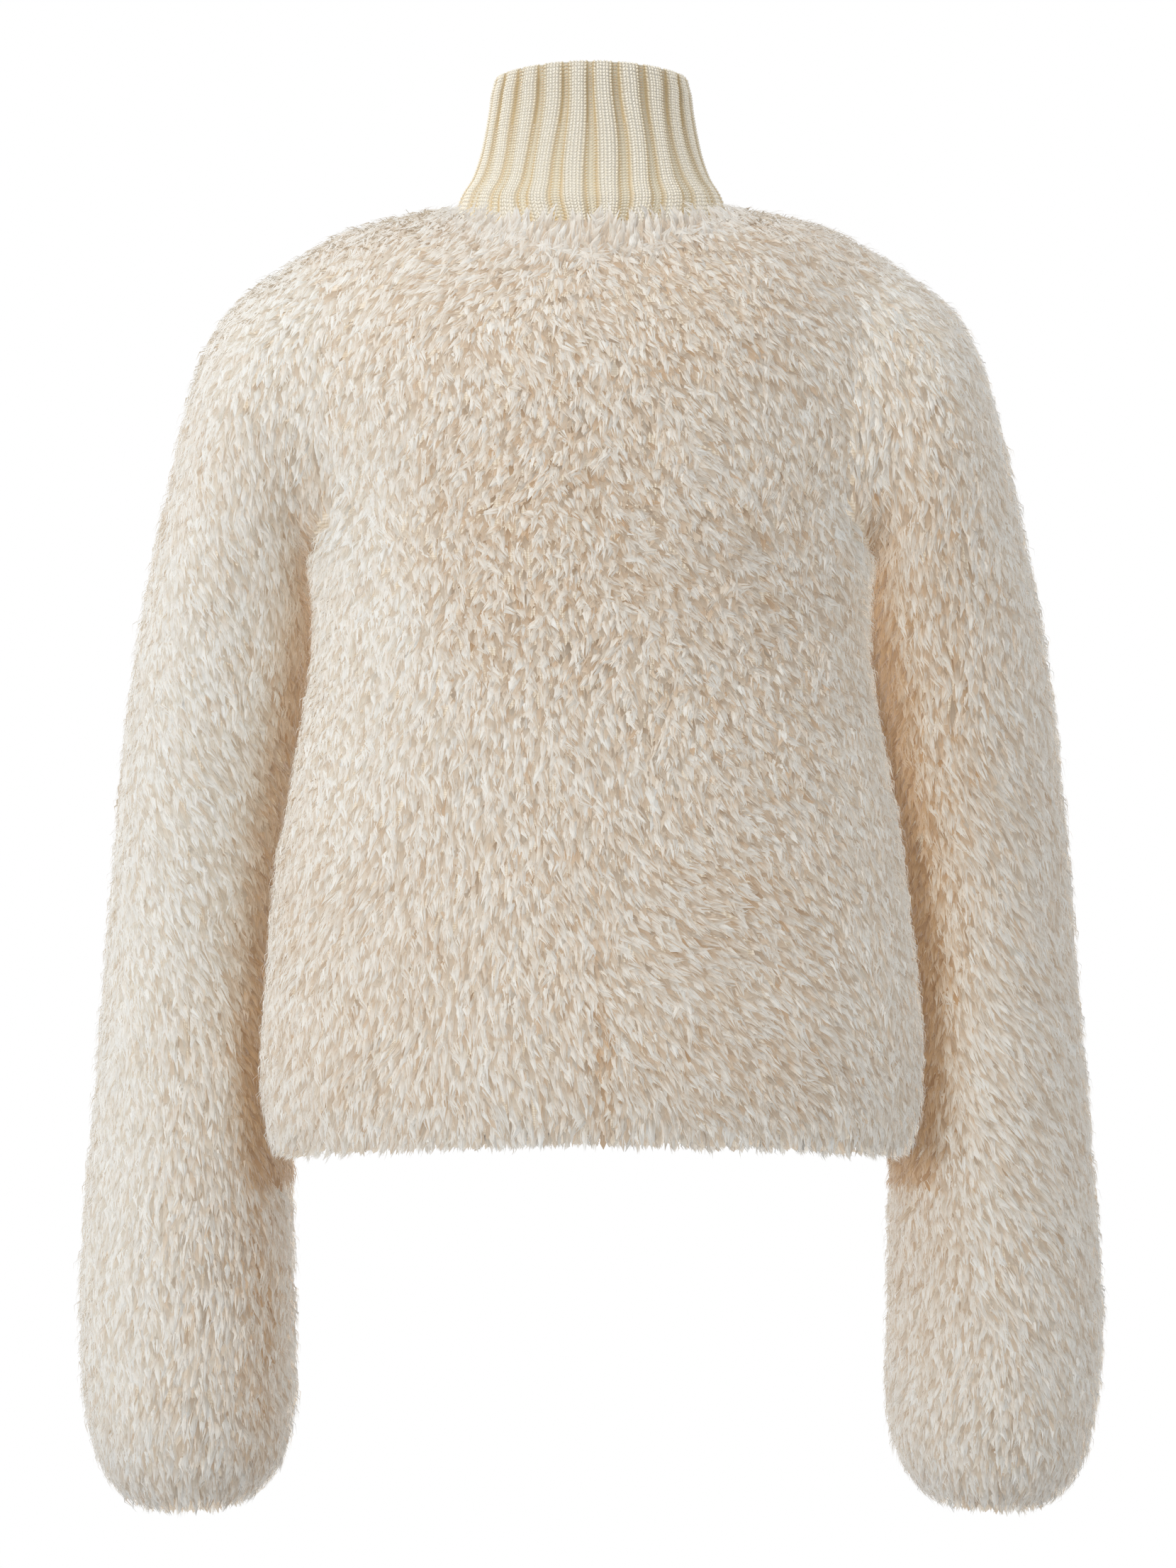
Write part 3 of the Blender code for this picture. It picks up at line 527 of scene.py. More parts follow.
def add_coat(node, tips, out, at_rim, strands, sunk, rng):
    """One coat's strands, as points, normals and places on the map. Sunk is how far its tips lie deeper."""
    count, every = len(tips), (len(tips), strands)
    beneath = strands == 1
    lie, length, plump, shade, tan, lift = lay_of(node, tips, out, at_rim, rng)
    # Lumps in the pile, and each lock's own small rise or dip
    rise = 0.6 * swell_of(tips, 0.012, 9) + 0.6 * swell_of(tips, 0.03, 10) + rng.normal(size=count) * 0.7
    tips = tips + out * (rise * MM - sunk)[:, None] + lift * (not beneath)
    roots = np.empty_like(tips)
    for k, place in enumerate(tips - lie * length[:, None] - out * (PILE_DEPTH - sunk)):
        near, normal, _, _ = under_pile.find_nearest(place)
        roots[k] = near - normal * ROOT_DEPTH * MM
    # The strands of a lock lie side by side in its upper half and come together again towards its tip
    along = unit(tips - roots)
    across = unit(np.cross(along, out))
    up = np.cross(across, along)
    around = rng.uniform(-0.25 * math.pi, 1.25 * math.pi, every)
    spread = np.sqrt(rng.random(every))
    stray = (rng.random(every) < 0.10) & (not beneath)
    aside, above = spread * np.cos(around), spread * np.sin(around)
    axis_a, axis_u, axis_l = across[:, None], up[:, None], along[:, None]
    offset = axis_a * aside[..., None] + axis_u * above[..., None] * 0.7
    plumper, bulk = plump[:, None], rng.uniform(0.75, 1.25, (count, 1))
    tip_radius = TIP_RADIUS * bulk * (1 + 0.7 * plumper + 1.3 * stray)
    reach_to = 1.05 - 0.18 * spread**2 - rng.uniform(0, 0.18, every)
    root = roots[:, None] + offset * ROOT_RADIUS
    tip = tips[:, None] + offset * tip_radius[..., None]
    tip = root + (tip - root) * reach_to[..., None] + out[:, None] * (2.0 * MM * stray)[..., None]
    middle_at = rng.uniform(0.52, 0.8, every)
    bow = np.linalg.norm(tips - roots, axis=1)[:, None] * (rng.uniform(0.07, 0.15, every) + 0.07 * plumper)
    middle = root + (tip - root) * middle_at[..., None] + axis_u * bow[..., None]
    middle += offset * ((LOCK_RADIUS * bulk * (1 + 0.1 * plumper) - ROOT_RADIUS) * (not beneath))[..., None]
    middle += axis_a * (length * rng.normal(size=count) * (0.04 + 0.12 * plump))[:, None, None]
    roll = np.arctan2(aside, 1.4) + rng.normal(size=every) * 0.12
    width = rng.uniform(0.85, 1.5, every) * (1 + 0.35 * plumper)
    width = np.where(stray, 0.5, width) * (2.4 if beneath else 1)
    half = axis_a * np.cos(roll)[..., None] - axis_u * np.sin(roll)[..., None]
    half *= width[..., None] * MM / 2
    hair = np.stack([root, middle + half, middle - half, tip], axis=2)
    # Each lock is lit as a soft round tuft
    tuft = out[:, None] + axis_a * aside[..., None] * 0.8 + axis_u * above[..., None] * 0.2
    tuft += rng.normal(size=(*every, 3)) * 0.12
    normal = unit(np.stack([tuft - 0.3 * axis_l, tuft, tuft, tuft + 0.4 * axis_l], axis=2))
    shade = np.clip(shade + rng.normal(size=count) * 0.11, 0.06, 0.94)[:, None]
    shade = np.clip(shade + rng.normal(size=every) * 0.045, 0.03, 0.97)
    wide = HAIR_SHARE * 2.2  # to each side, so a strand shows four hairs side by side
    # The lower strands of a lock and the underfur stay tan for longer, partly their own colour and partly
    # painted shade deep in the pile, and beside the body a sleeve's pile also takes painted shade
    level = 0.48 if beneath else 0.80 + 0.20 * np.clip(above + 0.4, 0, 1)
    level = np.full(every, level) * rng.uniform(0.84, 1.02, (count, 1)) * (1 - tan[:, None])
    zero = np.zeros(every)
    half_way = middle_at * level
    places = [(shade, zero), (shade + wide, half_way), (shade - wide, half_way), (shade, level)]
    places = np.stack([np.stack(place, axis=2) for place in places], axis=2)
    return hair.reshape(-1, 3), normal.reshape(-1, 3), places.reshape(-1, 2)


def grow_pile(node, number):
    """One piece's pile. Its tips lie on the wall's outer side and rims, and its roots on the backing."""
    rng = np.random.default_rng(100 + number)
    points, parts = walls[node]
    side = rounded(*one_side(points, parts[0]))
    hems = [one_side(points, p) for p in parts[2:] if points[p][:, :, 2].mean() < LOW_EDGE[kind_of(node)]]
    coats = []
    locks = LOCKS[kind_of(node)]
    for strands, count, sunk in ((1, round(locks * UNDERFUR), 2.6 * MM), (STRANDS, locks, 0.6 * MM)):
        rim_count = round(count * RIM_SHARE)
        spots = [scattered(*side, count - rim_count, rng, strands > 1)]
        spots += [scattered(*hem, rim_count, rng, False) for hem in hems[:1]]
        tips, out = (np.concatenate(values) for values in zip(*spots))
        at_rim = np.arange(len(tips)) >= len(spots[0][0])
        coats.append(add_coat(node, tips, out, at_rim, strands, sunk, rng))
    hair, normal, places = (np.concatenate(values) for values in zip(*coats))
    first = np.arange(len(hair) // 4)[:, None] * 4
    faces = np.concatenate([first + (0, 1, 2), first + (1, 3, 2)])
    piece = new_piece(f"{node}_pile", hair, faces, pile_fibre)
    set_map(piece, places.clip(0.001, 0.999))
    piece.data.normals_split_custom_set_from_vertices(normal)
    # Light passes between real hairs, which are far finer than these strands
    piece.visible_shadow = piece.visible_diffuse = False
    return piece


# Each piece's pile and backing ride on the garment in place of its wall
for number, node in enumerate(PILE_PIECES):
    pile = grow_pile(node, number)
    backing = backings[node]
    # Only the fronts' cloth casts shadows: the rest lets light through to the hairs at the outline
    backing.visible_shadow = kind_of(node) == "front"
    for piece in (backing, pile):
        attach(piece, "garment")
        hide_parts(node)

# ---------------------------------------- the rib collar
# One band of wide rib knit with three columns of stitches to a rib. It is sewn to the neck edge, stands as a
# funnel and rolls over at its top. Its furrows are narrow and deep near the top and widen towards the neck.

# Going up: half width, depth behind and in front, then height at the side, the back and the front, in mm
COLLAR_LEVELS = np.array([
    (73.0, 66.0, 63.0, 4, -4, -21),
    (67.0, 61.5, 60.5, 14, 7, -8),
    (62.6, 58.0, 58.5, 26, 21, 8),
    (59.6, 55.0, 57.5, 39, 37, 26),
    (57.2, 52.5, 57.0, 53, 53, 43),
    (55.3, 50.5, 57.0, 65, 68, 58),
    (52.4, 48.2, 54.4, 71.4, 75, 65),
]) * MM  # fmt: skip
FRONT_EDGE = 5 * MM  # the collar's edges are this far from the middle of the zip
# How far in the inner side lies, at the top edge and below it, in the same order
EDGE_INWARDS, COLLAR_THICK = np.array([(1.8,) * 3 + (0,) * 3, (5.0,) * 3 + (0,) * 3]) * MM
SEAT_OUTER, SEAT_INNER = 10.5 * MM, 12 * MM  # from the tips of the pile down to the two sides' feet
RIBS = 22


def smooth_through(knots, values, at):
    """A smooth curve through values at their knots, read at other places. Values may hold many curves."""
    steps = np.diff(knots)
    slopes = np.diff(values, axis=0) / steps.reshape(-1, *[1] * (values.ndim - 1))
    inner = (slopes[1:].T * steps[:-1] + slopes[:-1].T * steps[1:]) / (steps[1:] + steps[:-1])
    slopes = np.concatenate([slopes[:1], inner.T, slopes[-1:]])
    k = np.clip(np.searchsorted(knots, at) - 1, 0, len(steps) - 1)
    step, f = steps[k], (at - knots[k]) / steps[k]
    pick = (k, np.arange(len(at))) if values.ndim == 3 else (k,)
    after = (k + 1, *pick[1:])
    f, step = f[:, None], step[:, None]
    return (
        values[pick] * (2 * f**3 - 3 * f**2 + 1)
        + values[after] * (3 * f**2 - 2 * f**3)
        + slopes[pick] * step * (f**3 - 2 * f**2 + f)
        + slopes[after] * step * (f**3 - f**2)
    )


# The neck edge, read from the walls: the angle round the neck of its points, where they are, their normals
NECK_WIDEST, NECK_LOWEST = 0.084, -0.05
neck_edge = []
for node in ("back", "front_left", "front_right"):
    points, normals, faces = one_side(walls[node][0], walls[node][1][0])
    for a, b in border_of(faces):
        middle, step = (points[a] + points[b]) / 2, unit(points[b] - points[a])
        goes_round = abs(np.dot(step[:2], unit(middle[:2]))) < 0.5
        if np.hypot(*middle[:2]) < NECK_WIDEST and middle[2] > NECK_LOWEST and goes_round:
            inwards = np.cross(step, (normals[a] + normals[b]) / 2) * 0.4 * MM
            for i in (a, b):
                neck_edge.append((math.atan2(*points[i, :2]), *(points[i] - inwards), *normals[i]))
neck_edge = np.array(sorted(neck_edge))


def angle_at(share, half_width):
    """The angle from the middle of the back, at shares of the way round from front edge to front edge."""
    return (math.pi - math.asin(FRONT_EDGE / half_width)) * (2 * share - 1)


def seat_at(share, depth):
    """The collar's lower edge this deep below the tips of the pile, at shares of the way round."""
    angle = angle_at(share, COLLAR_LEVELS[0, 0])
    values = np.stack([np.interp(angle, neck_edge[:, 0], values) for values in neck_edge.T[1:]], axis=1)
    return values[:, :3] - unit(values[:, 3:]) * depth


def level_at(level, share):
    """Points on one level of the collar, at shares of the way round."""
    angle = angle_at(share, level[0])
    across, behind = np.sin(angle), np.cos(angle)
    depth, z = np.where(behind > 0, level[1], level[2]), np.where(behind > 0, level[4], level[5])
    return np.stack([level[0] * across, depth * behind, level[3] * across**2 + z * (1 - across**2)], axis=1)


def collar_levels(share):
    """The collar's profile at each share: up its outer side, over its top and down its inner side."""
    outer = [seat_at(share, SEAT_OUTER)] + [level_at(level, share) for level in COLLAR_LEVELS]
    over = [level_at(COLLAR_LEVELS[6] - EDGE_INWARDS, share)]
    inner = [level_at(COLLAR_LEVELS[i] - COLLAR_THICK, share) for i in (5, 3, 0)]
    return np.stack([*outer, *over, *inner, seat_at(share, SEAT_INNER)])


at_back = collar_levels(np.array([0.5]))[:, 0]
collar_knots = np.concatenate([[0], np.cumsum(np.linalg.norm(np.diff(at_back, axis=0), axis=1))])
TOP = float(collar_knots[7] + 1 * MM)  # how far up the profile the top edge is
FOOT = float(collar_knots[-1])


def plain_collar(share, along):
    return smooth_through(collar_knots, collar_levels(share), along)


PITCH_LEVELS = np.linspace(0, FOOT, 40)
MEASURED = np.linspace(0.02, 0.98, 97)  # shares of the way round, clear of the corners at the front edges
rings = [plain_collar(MEASURED, np.full(len(MEASURED), along)) for along in PITCH_LEVELS]
lengths = [np.linalg.norm(np.diff(ring, axis=0), axis=1).sum() for ring in rings]
PITCHES = [length / np.ptp(MEASURED) / RIBS for length in lengths]


def pitch_at(along):
    """The width of a rib and its furrow together."""
    return np.interp(along, PITCH_LEVELS, PITCHES)


RIB_FLAT, RIB_SIDE = 4.3, 1.8  # mm from a rib's middle to where it falls, and on down to the furrow
# How deep the furrows are, in mm, at shares of the way up to the top edge and on over it
FURROW_PLACES = (0, 0.2, 0.4, 0.55, 0.7, 0.82, 0.9, 0.95, 0.98, 1.1, 1.2)
FURROW_DEPTHS = (0.5, 0.75, 1.1, 1.45, 1.85, 2.1, 2.15, 1.2, 0.15, 0.15, 0.2)
DRIFT, DRIFT_WAVES = 0.0022, ((5.3, 0.9), (3.1, -1.3))  # the ribs' wander, and its waves round and up


def rib_knit(rib, across, along, lift=0.0):
    """Points on the collar and their normals, this far across from the middle of a rib."""
    pitch = pitch_at(along)
    share = (rib + 0.5 + across / pitch) / RIBS
    # The ribs wander a little as they go up
    drift = sum(np.sin(2 * math.pi * (a * share + b * along / TOP)) for a, b in DRIFT_WAVES)
    share = share + DRIFT * drift * np.clip(12 * share * (1 - share), 0, 1)
    point = plain_collar(share, along)
    up = plain_collar(share, along + 0.4 * MM) - plain_collar(share, along - 0.4 * MM)
    right = plain_collar(share + 1e-3, along) - plain_collar(share - 1e-3, along)
    normal = unit(np.cross(up, right))
    far = np.abs(across) / MM
    far = np.minimum(far, pitch / MM - far)
    edge = np.clip((far - RIB_FLAT) / RIB_SIDE, 0, 1)
    raised = 1 - edge**2 * (3 - 2 * edge) - 0.2 * (far / 5) ** 2
    furrow = np.interp(along, np.multiply(FURROW_PLACES, TOP), np.multiply(FURROW_DEPTHS, MM))
    return point + normal * ((raised - 1) * furrow + lift)[:, None], normal


# Ribbed wool and viscose knit in ecru, with tan painted shade where its ribs fall into the furrows. Its map
# runs once round the collar and once up, over and down the inside. Where no stitches are modelled, its bump
# draws their rows of Vs.
rib_cloth, rib_place = new_material("ecru_rib_knit", ("Specular IOR Level", 0.2), ("Sheen Weight", 0.2))
ROW = 1.75 * MM  # from stitch to stitch up a column
KNIT_ROWS = round(FOOT / ROW)
LEGS_TO_RIB = 5  # halves of Vs drawn across a rib and its furrow
rib_split = add_split(rib_place)
rib_turn = add_maths("MULTIPLY", (rib_split, "X"), RIBS)
rib_share = add_maths("FRACT", rib_turn)
rib_off = add_maths("SUBTRACT", rib_share, 0.5)
rib_far = add_maths("ABSOLUTE", rib_off)
rib_colour = add_ramp(rib_far, (0.2, "#F8F0DE"), (0.37, "#E3C898"), (0.46, "#F3E8CE"))
wale_turn = add_maths("MULTIPLY", (rib_split, "X"), RIBS * LEGS_TO_RIB)
wale_wave = add_maths("PINGPONG", wale_turn, 1.0)
v_rows = add_maths("MULTIPLY", (rib_split, "Y"), KNIT_ROWS)
v_shape = add_maths("MULTIPLY_ADD", wale_wave, 0.7, v_rows)
v_wave = add_wave(v_shape, 1)
v_height = add_maths("ADD", v_wave, wale_wave)
v_tone = add_range(v_height, (-1.0, 1.6), (0.82, 1.0))
# Painted shade darkens the knit up to the rolled top, where the furrows get deeper
slot_painted_shade = add_range((rib_split, "Y"), (0.10, 0.44), (1.0, 0.80))
both_tones = add_maths("MULTIPLY", v_tone, slot_painted_shade)
rib_toned = add_mix("MULTIPLY", rib_colour, both_tones)
finish_with(rib_toned, v_height, (0.6, 0.5 * MM), (-1.0, 2.0), (0.98, 0.82))


def closed(ring):
    """Quads that close a flat ring of points, each between its one side and its other."""
    count = len(ring)
    return ring[np.array([(k, k + 1, count - 2 - k, count - 1 - k) for k in range(count // 2 - 1)])]


# The band itself, a grid of rows up, over and down inside, closed along its foot and its two front edges
BAND_SPANS = ((0, TOP - 6 * MM, 34), (TOP - 4.5 * MM, TOP + 6 * MM, 11), (TOP + 9 * MM, FOOT, 21))
along_rows = np.concatenate([np.linspace(*span) for span in BAND_SPANS])
side_steps = np.array([-6.2, -5.6, -4.9, -2.6, 0, 2.6, 4.9, 5.6, 6.2]) * MM
columns = [(rib, step) for rib in range(RIBS) for step in (None, *side_steps)] + [(RIBS, None)]
rib = np.array([rib for rib, _ in columns], float)
band, band_places = [], []
for along in along_rows:
    half_pitch = float(pitch_at(along)) / 2
    across = np.array([-half_pitch if step is None else step for _, step in columns])
    ring, _ = rib_knit(rib, across, np.full(len(columns), along))
    band.append(ring)
    share = (rib + 0.5 + across / half_pitch / 2) / RIBS
    band_places.append(np.stack([share, np.full(len(columns), along / FOOT)], axis=1))
index = np.arange(len(band) * len(columns)).reshape(len(band), -1)
after = np.concatenate([index[1:], index[:1]])
quads = np.stack([index[:, :-1], index[:, 1:], after[:, 1:], after[:, :-1]], axis=2).reshape(-1, 4)
quads = np.concatenate([quads, closed(index[:, 0]), closed(index[:, -1])[:, ::-1]])
collar_band = new_piece("collar_band", np.concatenate(band), quads, rib_cloth)
set_map(collar_band, np.concatenate(band_places).clip(0, 1))

# The ecru yarn of the stitches, soft and matt. Its map tells how deep in a furrow a stitch lies, for painted
# shade that turns it tan down there, and how far along its loop a point is, so each loop gets painted shade
# where it dips under the next.
rib_yarn, yarn_place = new_material("ecru_knit_yarn", ("Specular IOR Level", 0.2), ("Sheen Weight", 0.25))
yarn_split = add_split(yarn_place)
yarn_colour = add_ramp((yarn_split, "X"), (0, "#D8B07A"), (0.5, "#F3E8CF"), (1, "#FFFAEE"))
yarn_rise = add_wave((yarn_split, "Y"), 0.5)
loop_end_painted_shade = add_range(yarn_rise, (0, 1), (0.86, 1.0))
yarn_toned = add_mix("MULTIPLY", yarn_colour, loop_end_painted_shade)
twist_place = add_node("ShaderNodeMapping", [("Vector", yarn_place)], [("Scale", (60, 6, 1))])
twist_noise = add_noise("2D", twist_place, 1.0, 2.0)
finish_with(yarn_toned, twist_noise, (0.3, 0.2 * MM), (0, 1), (0.78, 0.98))


def spindles(starts, ends, middles, sideways, outwards, shade, around=(0, -0.02, 0, 0.02, 0.04, 0)):
    """Plump stitches: eight triangles each, from end to end round four points at the middle."""
    ring = [middles + sideways, middles + outwards, middles - sideways, middles - outwards * 0.4]
    points = np.stack([starts, *ring, ends], axis=1)
    faces = [(0, 1, 2), (0, 2, 3), (0, 3, 4), (0, 4, 1), (5, 2, 1), (5, 3, 2), (5, 4, 3), (5, 1, 4)]
    faces = (np.arange(len(starts))[:, None, None] * 6 + np.array(faces)).reshape(-1, 3)
    along = np.array([0, 0.5, 0.5, 0.5, 0.5, 1])
    shade = np.full(len(starts), shade)[:, None] + np.array(around)
    places = np.stack([shade, np.tile(along, (len(starts), 1))], axis=2)
    return points.reshape(-1, 3), faces, places.reshape(-1, 2).clip(0.001, 0.999)


WALE_GAP, PURL_GAP = 3.7 * MM, 1.9 * MM  # from column to column on a rib and in a furrow
rows_up = np.arange(0.8 * ROW, TOP + 7 * MM, ROW)
rib, wale, hand, row = (v.ravel() for v in np.meshgrid(np.arange(RIBS), (-1, 0, 1), (-1, 1), rows_up))
loop_rng = np.random.default_rng(5)
row = row + loop_rng.normal(size=len(row)) * 0.1 * MM
middle_x = wale * WALE_GAP
# A stitch's two legs run up and apart: mm aside, up and out, where a leg starts, at its middle and its end
LEG = ((0.3, -1.35, -0.2), (1.05, 0, 0.1), (1.5, 1.2, -0.2))
legs = [rib_knit(rib, middle_x + hand * x * MM, row + up * MM, out * MM) for x, up, out in LEG]
(low, _), (mid, normal), (high, _) = legs
leg = unit(high - low)
side_axis = unit(np.cross(leg, normal)) * 0.9 * MM
# Painted shade darkens the legs towards a rib's edges, where it falls into a furrow, with a little random
# tone
edge_shade = np.clip(1 - 0.32 * (np.abs(middle_x + hand * 1.05 * MM) / (4.8 * MM)) ** 4, 0, 1)
edge_shade = np.clip(edge_shade * 0.86 + loop_rng.normal(size=len(row)) * 0.03, 0.04, 0.96)
to_furrow = np.zeros((len(row), 6))
# The darkening towards the next column is painted shade between the columns
to_furrow[np.arange(len(row)), 2 + hand] = -0.3  # each leg darkens towards the next column
knit_stitches = spindles(low, high, mid, side_axis, normal * 0.75 * MM, edge_shade, to_furrow)
# Purl bumps across the furrows, as many columns as a furrow has room for
rib, column, row = (v.ravel() for v in np.meshgrid(np.arange(RIBS + 1), (-1, 0, 1), rows_up[1:-6]))
half_pitch = pitch_at(row) / 2
past_edge = ((rib == 0) & (column < 0)) | ((rib == RIBS) & (column > 0))
fits = (np.abs(column) * PURL_GAP < half_pitch - 6.1 * MM) & ~past_edge
rib, column, row, half_pitch = rib[fits], column[fits], row[fits], half_pitch[fits]
middle_x = column * PURL_GAP - half_pitch
reach_x = np.where((rib == 0) | (rib == RIBS), 0.5, 1.2) * MM
# A bump goes across and bows up: its reach to the left and right, then mm up and out
PURL = ((-1, -0.3, -0.1), (0, 0.3, 0.15), (1, -0.3, -0.1))
bows = [rib_knit(rib, middle_x + to * reach_x, row + up * MM, out * MM) for to, up, out in PURL]
(left, _), (mid, normal), (right, _) = bows
side_axis = unit(np.cross(right - left, normal)) * 0.6 * MM
# Painted shade turns the purl bumps tan the higher they sit, where the furrows are deeper
deep = np.clip(0.68 - 0.50 * row / TOP + loop_rng.normal(size=len(row)) * 0.03, 0.04, 0.96)
purl_stitches = spindles(left, right, mid, side_axis, normal * 0.5 * MM, deep)
points, faces, places = zip(knit_stitches, purl_stitches)
faces = np.concatenate([faces[0], faces[1] + len(points[0])])
collar_stitches = new_piece("collar_stitches", np.concatenate(points), faces, rib_yarn)
set_map(collar_stitches, np.concatenate(places))
collar_stitches.visible_shadow = collar_stitches.visible_diffuse = False  # the yarn is open and soft
for piece in (collar_band, collar_stitches):
    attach(piece, "garment")
    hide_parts("collar")

# ---------------------------------------- the zip
# Two woven tapes sewn behind the front edges, each with a row of metal teeth that interlock at the middle,
# closed up to the slider. The slider, its pull tab and the box at the hem are the CAD's own solids.

# The line of the zip, read from the left tape's solid: its edge at the teeth and its edge far from them
tape_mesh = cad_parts["zip_tape_left"].data
tape_points = np.unique(np.round([tuple(v.co) for v in tape_mesh.vertices], 6), axis=0)
edges_of_tape = []
for low_x, high_x in ((0, 1 * MM), (13 * MM, 15 * MM)):
    line = tape_points[(tape_points[:, 0] > low_x) & (tape_points[:, 0] < high_x)]
    line = line[np.argsort(line[:, 2])]
    edges_of_tape.append((line[::2] + line[1::2]) / 2)
steps = np.linalg.norm(np.diff(edges_of_tape[0], axis=0), axis=1)
tape_knots = np.concatenate([[0], np.cumsum(steps)])
TAPE_LENGTH = float(tape_knots[-1])
TAPE_EDGE, TAPE_WIDTH = 0.15, 13.85  # mm from the middle to a tape's edge at the teeth, and on to its other


def zip_at(along, across, outwards, side):
    """A point of the zip: this far along, across from the middle and out from the tape's middle layer."""
    across, outwards = np.full(len(along), across), np.full(len(along), outwards)
    near, far = (smooth_through(tape_knots, edge, along) for edge in edges_of_tape)
    ahead = smooth_through(tape_knots, edges_of_tape[0], along + 0.5 * MM)
    behind = smooth_through(tape_knots, edges_of_tape[0], along - 0.5 * MM)
    onward = unit(ahead - behind)
    out = np.stack([np.zeros(len(along)), -onward[:, 2], onward[:, 1]], axis=1)
    share = np.clip((across / MM - TAPE_EDGE) / TAPE_WIDTH, 0, 1)[:, None]
    point = near + (far - near) * share + out * outwards[:, None]
    point[:, 0] = across
    return point * (side, 1, 1)


# Woven ecru tape: a fine herringbone, satiny along its ridges. Its map runs round the tape and along it.
tape_weave, weave_place = new_material("herringbone_zip_tape", ("Specular IOR Level", 0.3))
CHEVRONS, CHEVRON_STEP = 12, 1.3 * MM  # how many go round a tape, and how far apart their ridges are
weave_split = add_split(weave_place)
weave_across = add_maths("MULTIPLY", (weave_split, "X"), CHEVRONS)
weave_chevron = add_maths("PINGPONG", weave_across, 1.0)
weave_along = add_maths("MULTIPLY", (weave_split, "Y"), TAPE_LENGTH / CHEVRON_STEP)
weave_shape = add_maths("MULTIPLY_ADD", weave_chevron, 1.2, weave_along)
weave_wave = add_wave(weave_shape, 1)
weave_share = add_range(weave_wave, (-1, 1), (0, 1))
weave_colour = add_ramp(weave_share, (0, "#C6B694"), (1, "#E9E0CA"))
finish_with(weave_colour, weave_share, (0.5, 0.25 * MM), (0, 1), (0.9, 0.6))

# Satin nickel: soft grey highlights, fine scratches, and duller where hands and cloth have rubbed it
satin_metal, _ = new_material("satin_nickel", ("Metallic", 1.0))
metal_place = (satin_metal.node_tree.nodes.new("ShaderNodeTexCoord"), "Object")
metal_stretch = add_node("ShaderNodeMapping", [("Vector", metal_place)], [("Scale", (6, 6, 1))])
metal_scratches = add_noise("3D", metal_stretch, 900.0, 3.0)
metal_smears = add_noise("3D", metal_place, 160.0, 2.0)
metal_colour = add_ramp(metal_smears, (0, "#B3AFA6"), (1, "#DAD6CD"))
finish_with(metal_colour, metal_scratches, (0.15, 0.05 * MM), (0.3, 0.7), (0.24, 0.46))
for node in ("zip_box", "zip_slider", "zip_pull"):
    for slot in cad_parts[node].material_slots:
        slot.material = satin_metal

# Each tape has a bead along its teeth and a firm selvedge: mm from the middle and half its thickness there
TAPE_SECTION = (
    *((0.2, 0.5), (0.5, 0.85), (1.8, 0.85), (2.4, 0.42)),
    *((7.0, 0.4), (12.4, 0.42), (13.0, 0.55), (13.9, 0.5)),
)
TAPE_STEPS = 216
# One tooth from above, mm from the middle and along: a shank on the bead and a head past the middle
TOOTH_SIDE = ((2.3, -0.5), (0.3, -0.5), (-0.2, -0.72), (-1.1, -0.6))
TOOTH_SHAPE = (*TOOTH_SIDE, (-1.3, 0), *((x, -step) for x, step in TOOTH_SIDE[::-1]))
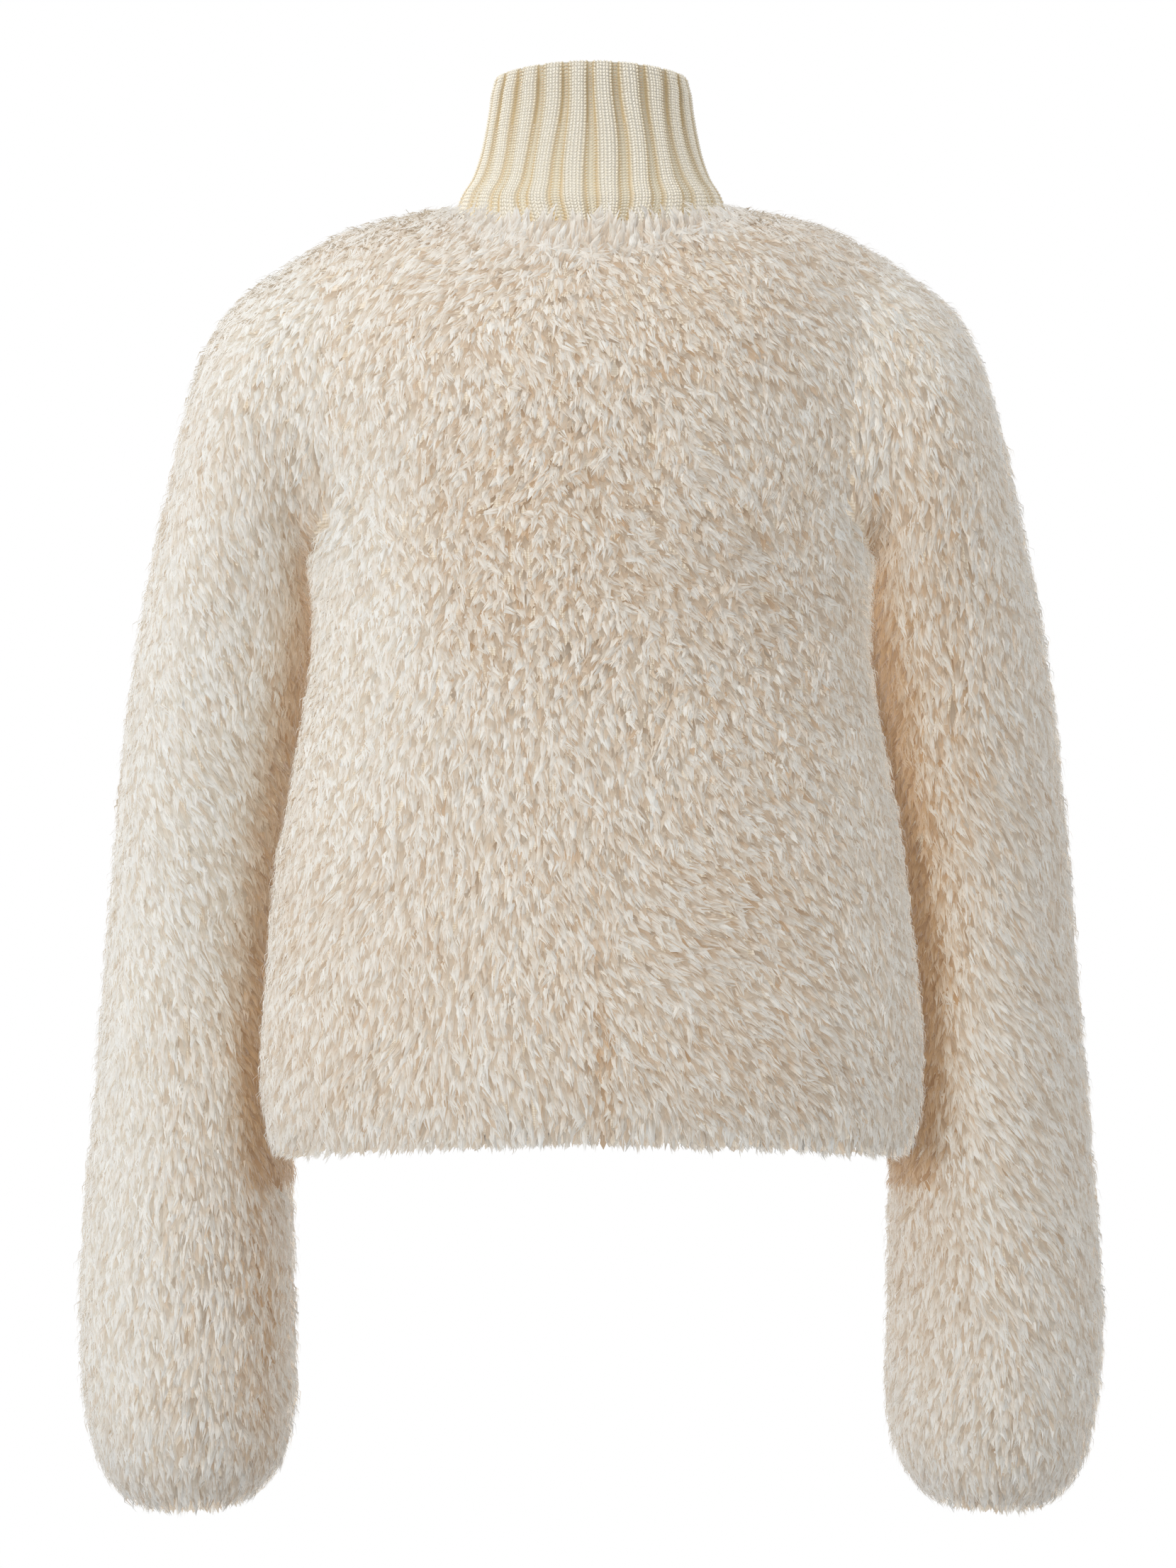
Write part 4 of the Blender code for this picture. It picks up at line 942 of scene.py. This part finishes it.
# Its layers from the back to the front face: mm out, and how much of its full size it has there
TOOTH_LAYERS = ((-1.25, 0.72), (-0.9, 1.0), (0.9, 1.0), (1.25, 0.72))
TOOTH_PITCH, TOOTH_END = 2.5 * MM, 11 * MM  # from tooth to tooth, and clear of them at a tape's ends
STITCH_PITCH, STITCH_HALF = 3.4 * MM, 1.35 * MM  # of the sewing: from stitch to stitch, and half of one
# The yarn's tan at 0 is the painted shade of a furrow
THREAD_SHADE = 0.55  # from the tan of a furrow, 0, to the palest yarn, 1
sewn = []
for hand, side in (("left", 1), ("right", -1)):
    alongs = np.linspace(0, TAPE_LENGTH, TAPE_STEPS)
    section = [*TAPE_SECTION, *((x, -half) for x, half in TAPE_SECTION[::-1])]
    grid = np.stack([zip_at(alongs, x * MM, half * MM, side) for x, half in section], axis=1)
    count = len(section)
    index = np.arange(TAPE_STEPS * count).reshape(TAPE_STEPS, count)
    after = np.roll(index, -1, axis=1)
    quads = np.stack([index[:-1], after[:-1], after[1:], index[1:]], axis=2).reshape(-1, 4)
    quads = np.concatenate([quads, closed(index[0])[:, ::-1], closed(index[-1])])
    quads = quads[:, ::-1] if side > 0 else quads
    tape = new_piece(f"zip_tape_{hand}_cloth", grid.reshape(-1, 3), quads, tape_weave)
    shares = np.meshgrid(np.linspace(0, 1, count), alongs / TAPE_LENGTH)
    set_map(tape, np.stack(shares, axis=2).reshape(-1, 2))

    # The teeth stand square on the tape's bead and are rounded towards their faces
    first = TOOTH_END + (side < 0) * TOOTH_PITCH / 2
    alongs = np.arange(first, TAPE_LENGTH - TOOTH_END, TOOTH_PITCH)
    points = []
    for out, share in TOOTH_LAYERS:
        for x, step in TOOTH_SHAPE:
            x = 0.5 + (x - 0.5) * (0.5 + 0.5 * share)
            points.append(zip_at(alongs + step * share * MM, x * MM, out * MM, side))
    points = np.stack(points, axis=1)
    n = len(TOOTH_SHAPE)
    faces = []
    for layer in range(3):
        for k in range(n):
            a, b = layer * n + k, layer * n + (k + 1) % n
            faces += [(a, b, b + n), (a, b + n, a + n)]
    for k in range(1, n - 1):
        faces += [(0, k + 1, k), (3 * n, 3 * n + k, 3 * n + k + 1)]
    faces = np.array(faces)[:, ::-1] if side > 0 else np.array(faces)
    faces = (np.arange(len(alongs))[:, None, None] * 4 * n + faces).reshape(-1, 3)
    teeth = new_piece(f"zip_teeth_{hand}", points.reshape(-1, 3), faces, satin_metal)

    # Two rows of lockstitch hold the tape to the cloth, seen on the tape from inside
    for x in (8.2 * MM, 11.2 * MM):
        alongs = np.arange(4 * MM, TAPE_LENGTH - 4 * MM, STITCH_PITCH)
        start = zip_at(alongs - STITCH_HALF, x, -0.25 * MM, side)
        end = zip_at(alongs + STITCH_HALF, x, -0.25 * MM, side)
        middle = zip_at(alongs, x, -0.5 * MM, side)
        outwards = zip_at(alongs, x, -0.72 * MM, side) - middle
        sideways = np.tile((-0.3 * MM, 0, 0), (len(alongs), 1))
        sewn.append(spindles(start, end, middle, sideways, outwards, THREAD_SHADE))
    for piece, slot in ((tape, "zip_tape"), (teeth, "zip_metal")):
        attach(piece, "garment")
        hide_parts(f"zip_tape_{hand}")

# On the collar the same seam shows outside, one row of stitches along each front edge
for rib_number, hand in ((0, -1), (RIBS - 1, 1)):
    alongs = np.arange(8 * MM, TOP - 2 * MM, STITCH_PITCH)
    x = hand * (pitch_at(alongs) / 2 - 3.2 * MM)
    start, _ = rib_knit(rib_number, x, alongs - STITCH_HALF, 0.5 * MM)
    end, _ = rib_knit(rib_number, x, alongs + STITCH_HALF, 0.5 * MM)
    middle, normal = rib_knit(rib_number, x, alongs, 0.9 * MM)
    sideways = unit(np.cross(end - start, normal)) * 0.32 * MM
    sewn.append(spindles(start, end, middle, sideways, normal * 0.25 * MM, THREAD_SHADE))
points, faces, places = zip(*sewn)
starts = np.concatenate([[0], np.cumsum([len(p) for p in points])[:-1]])
faces = np.concatenate([face + start for face, start in zip(faces, starts)])
sewing = new_piece("zip_sewing", np.concatenate(points), faces, rib_yarn)
set_map(sewing, np.concatenate(places))
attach(sewing, "garment")
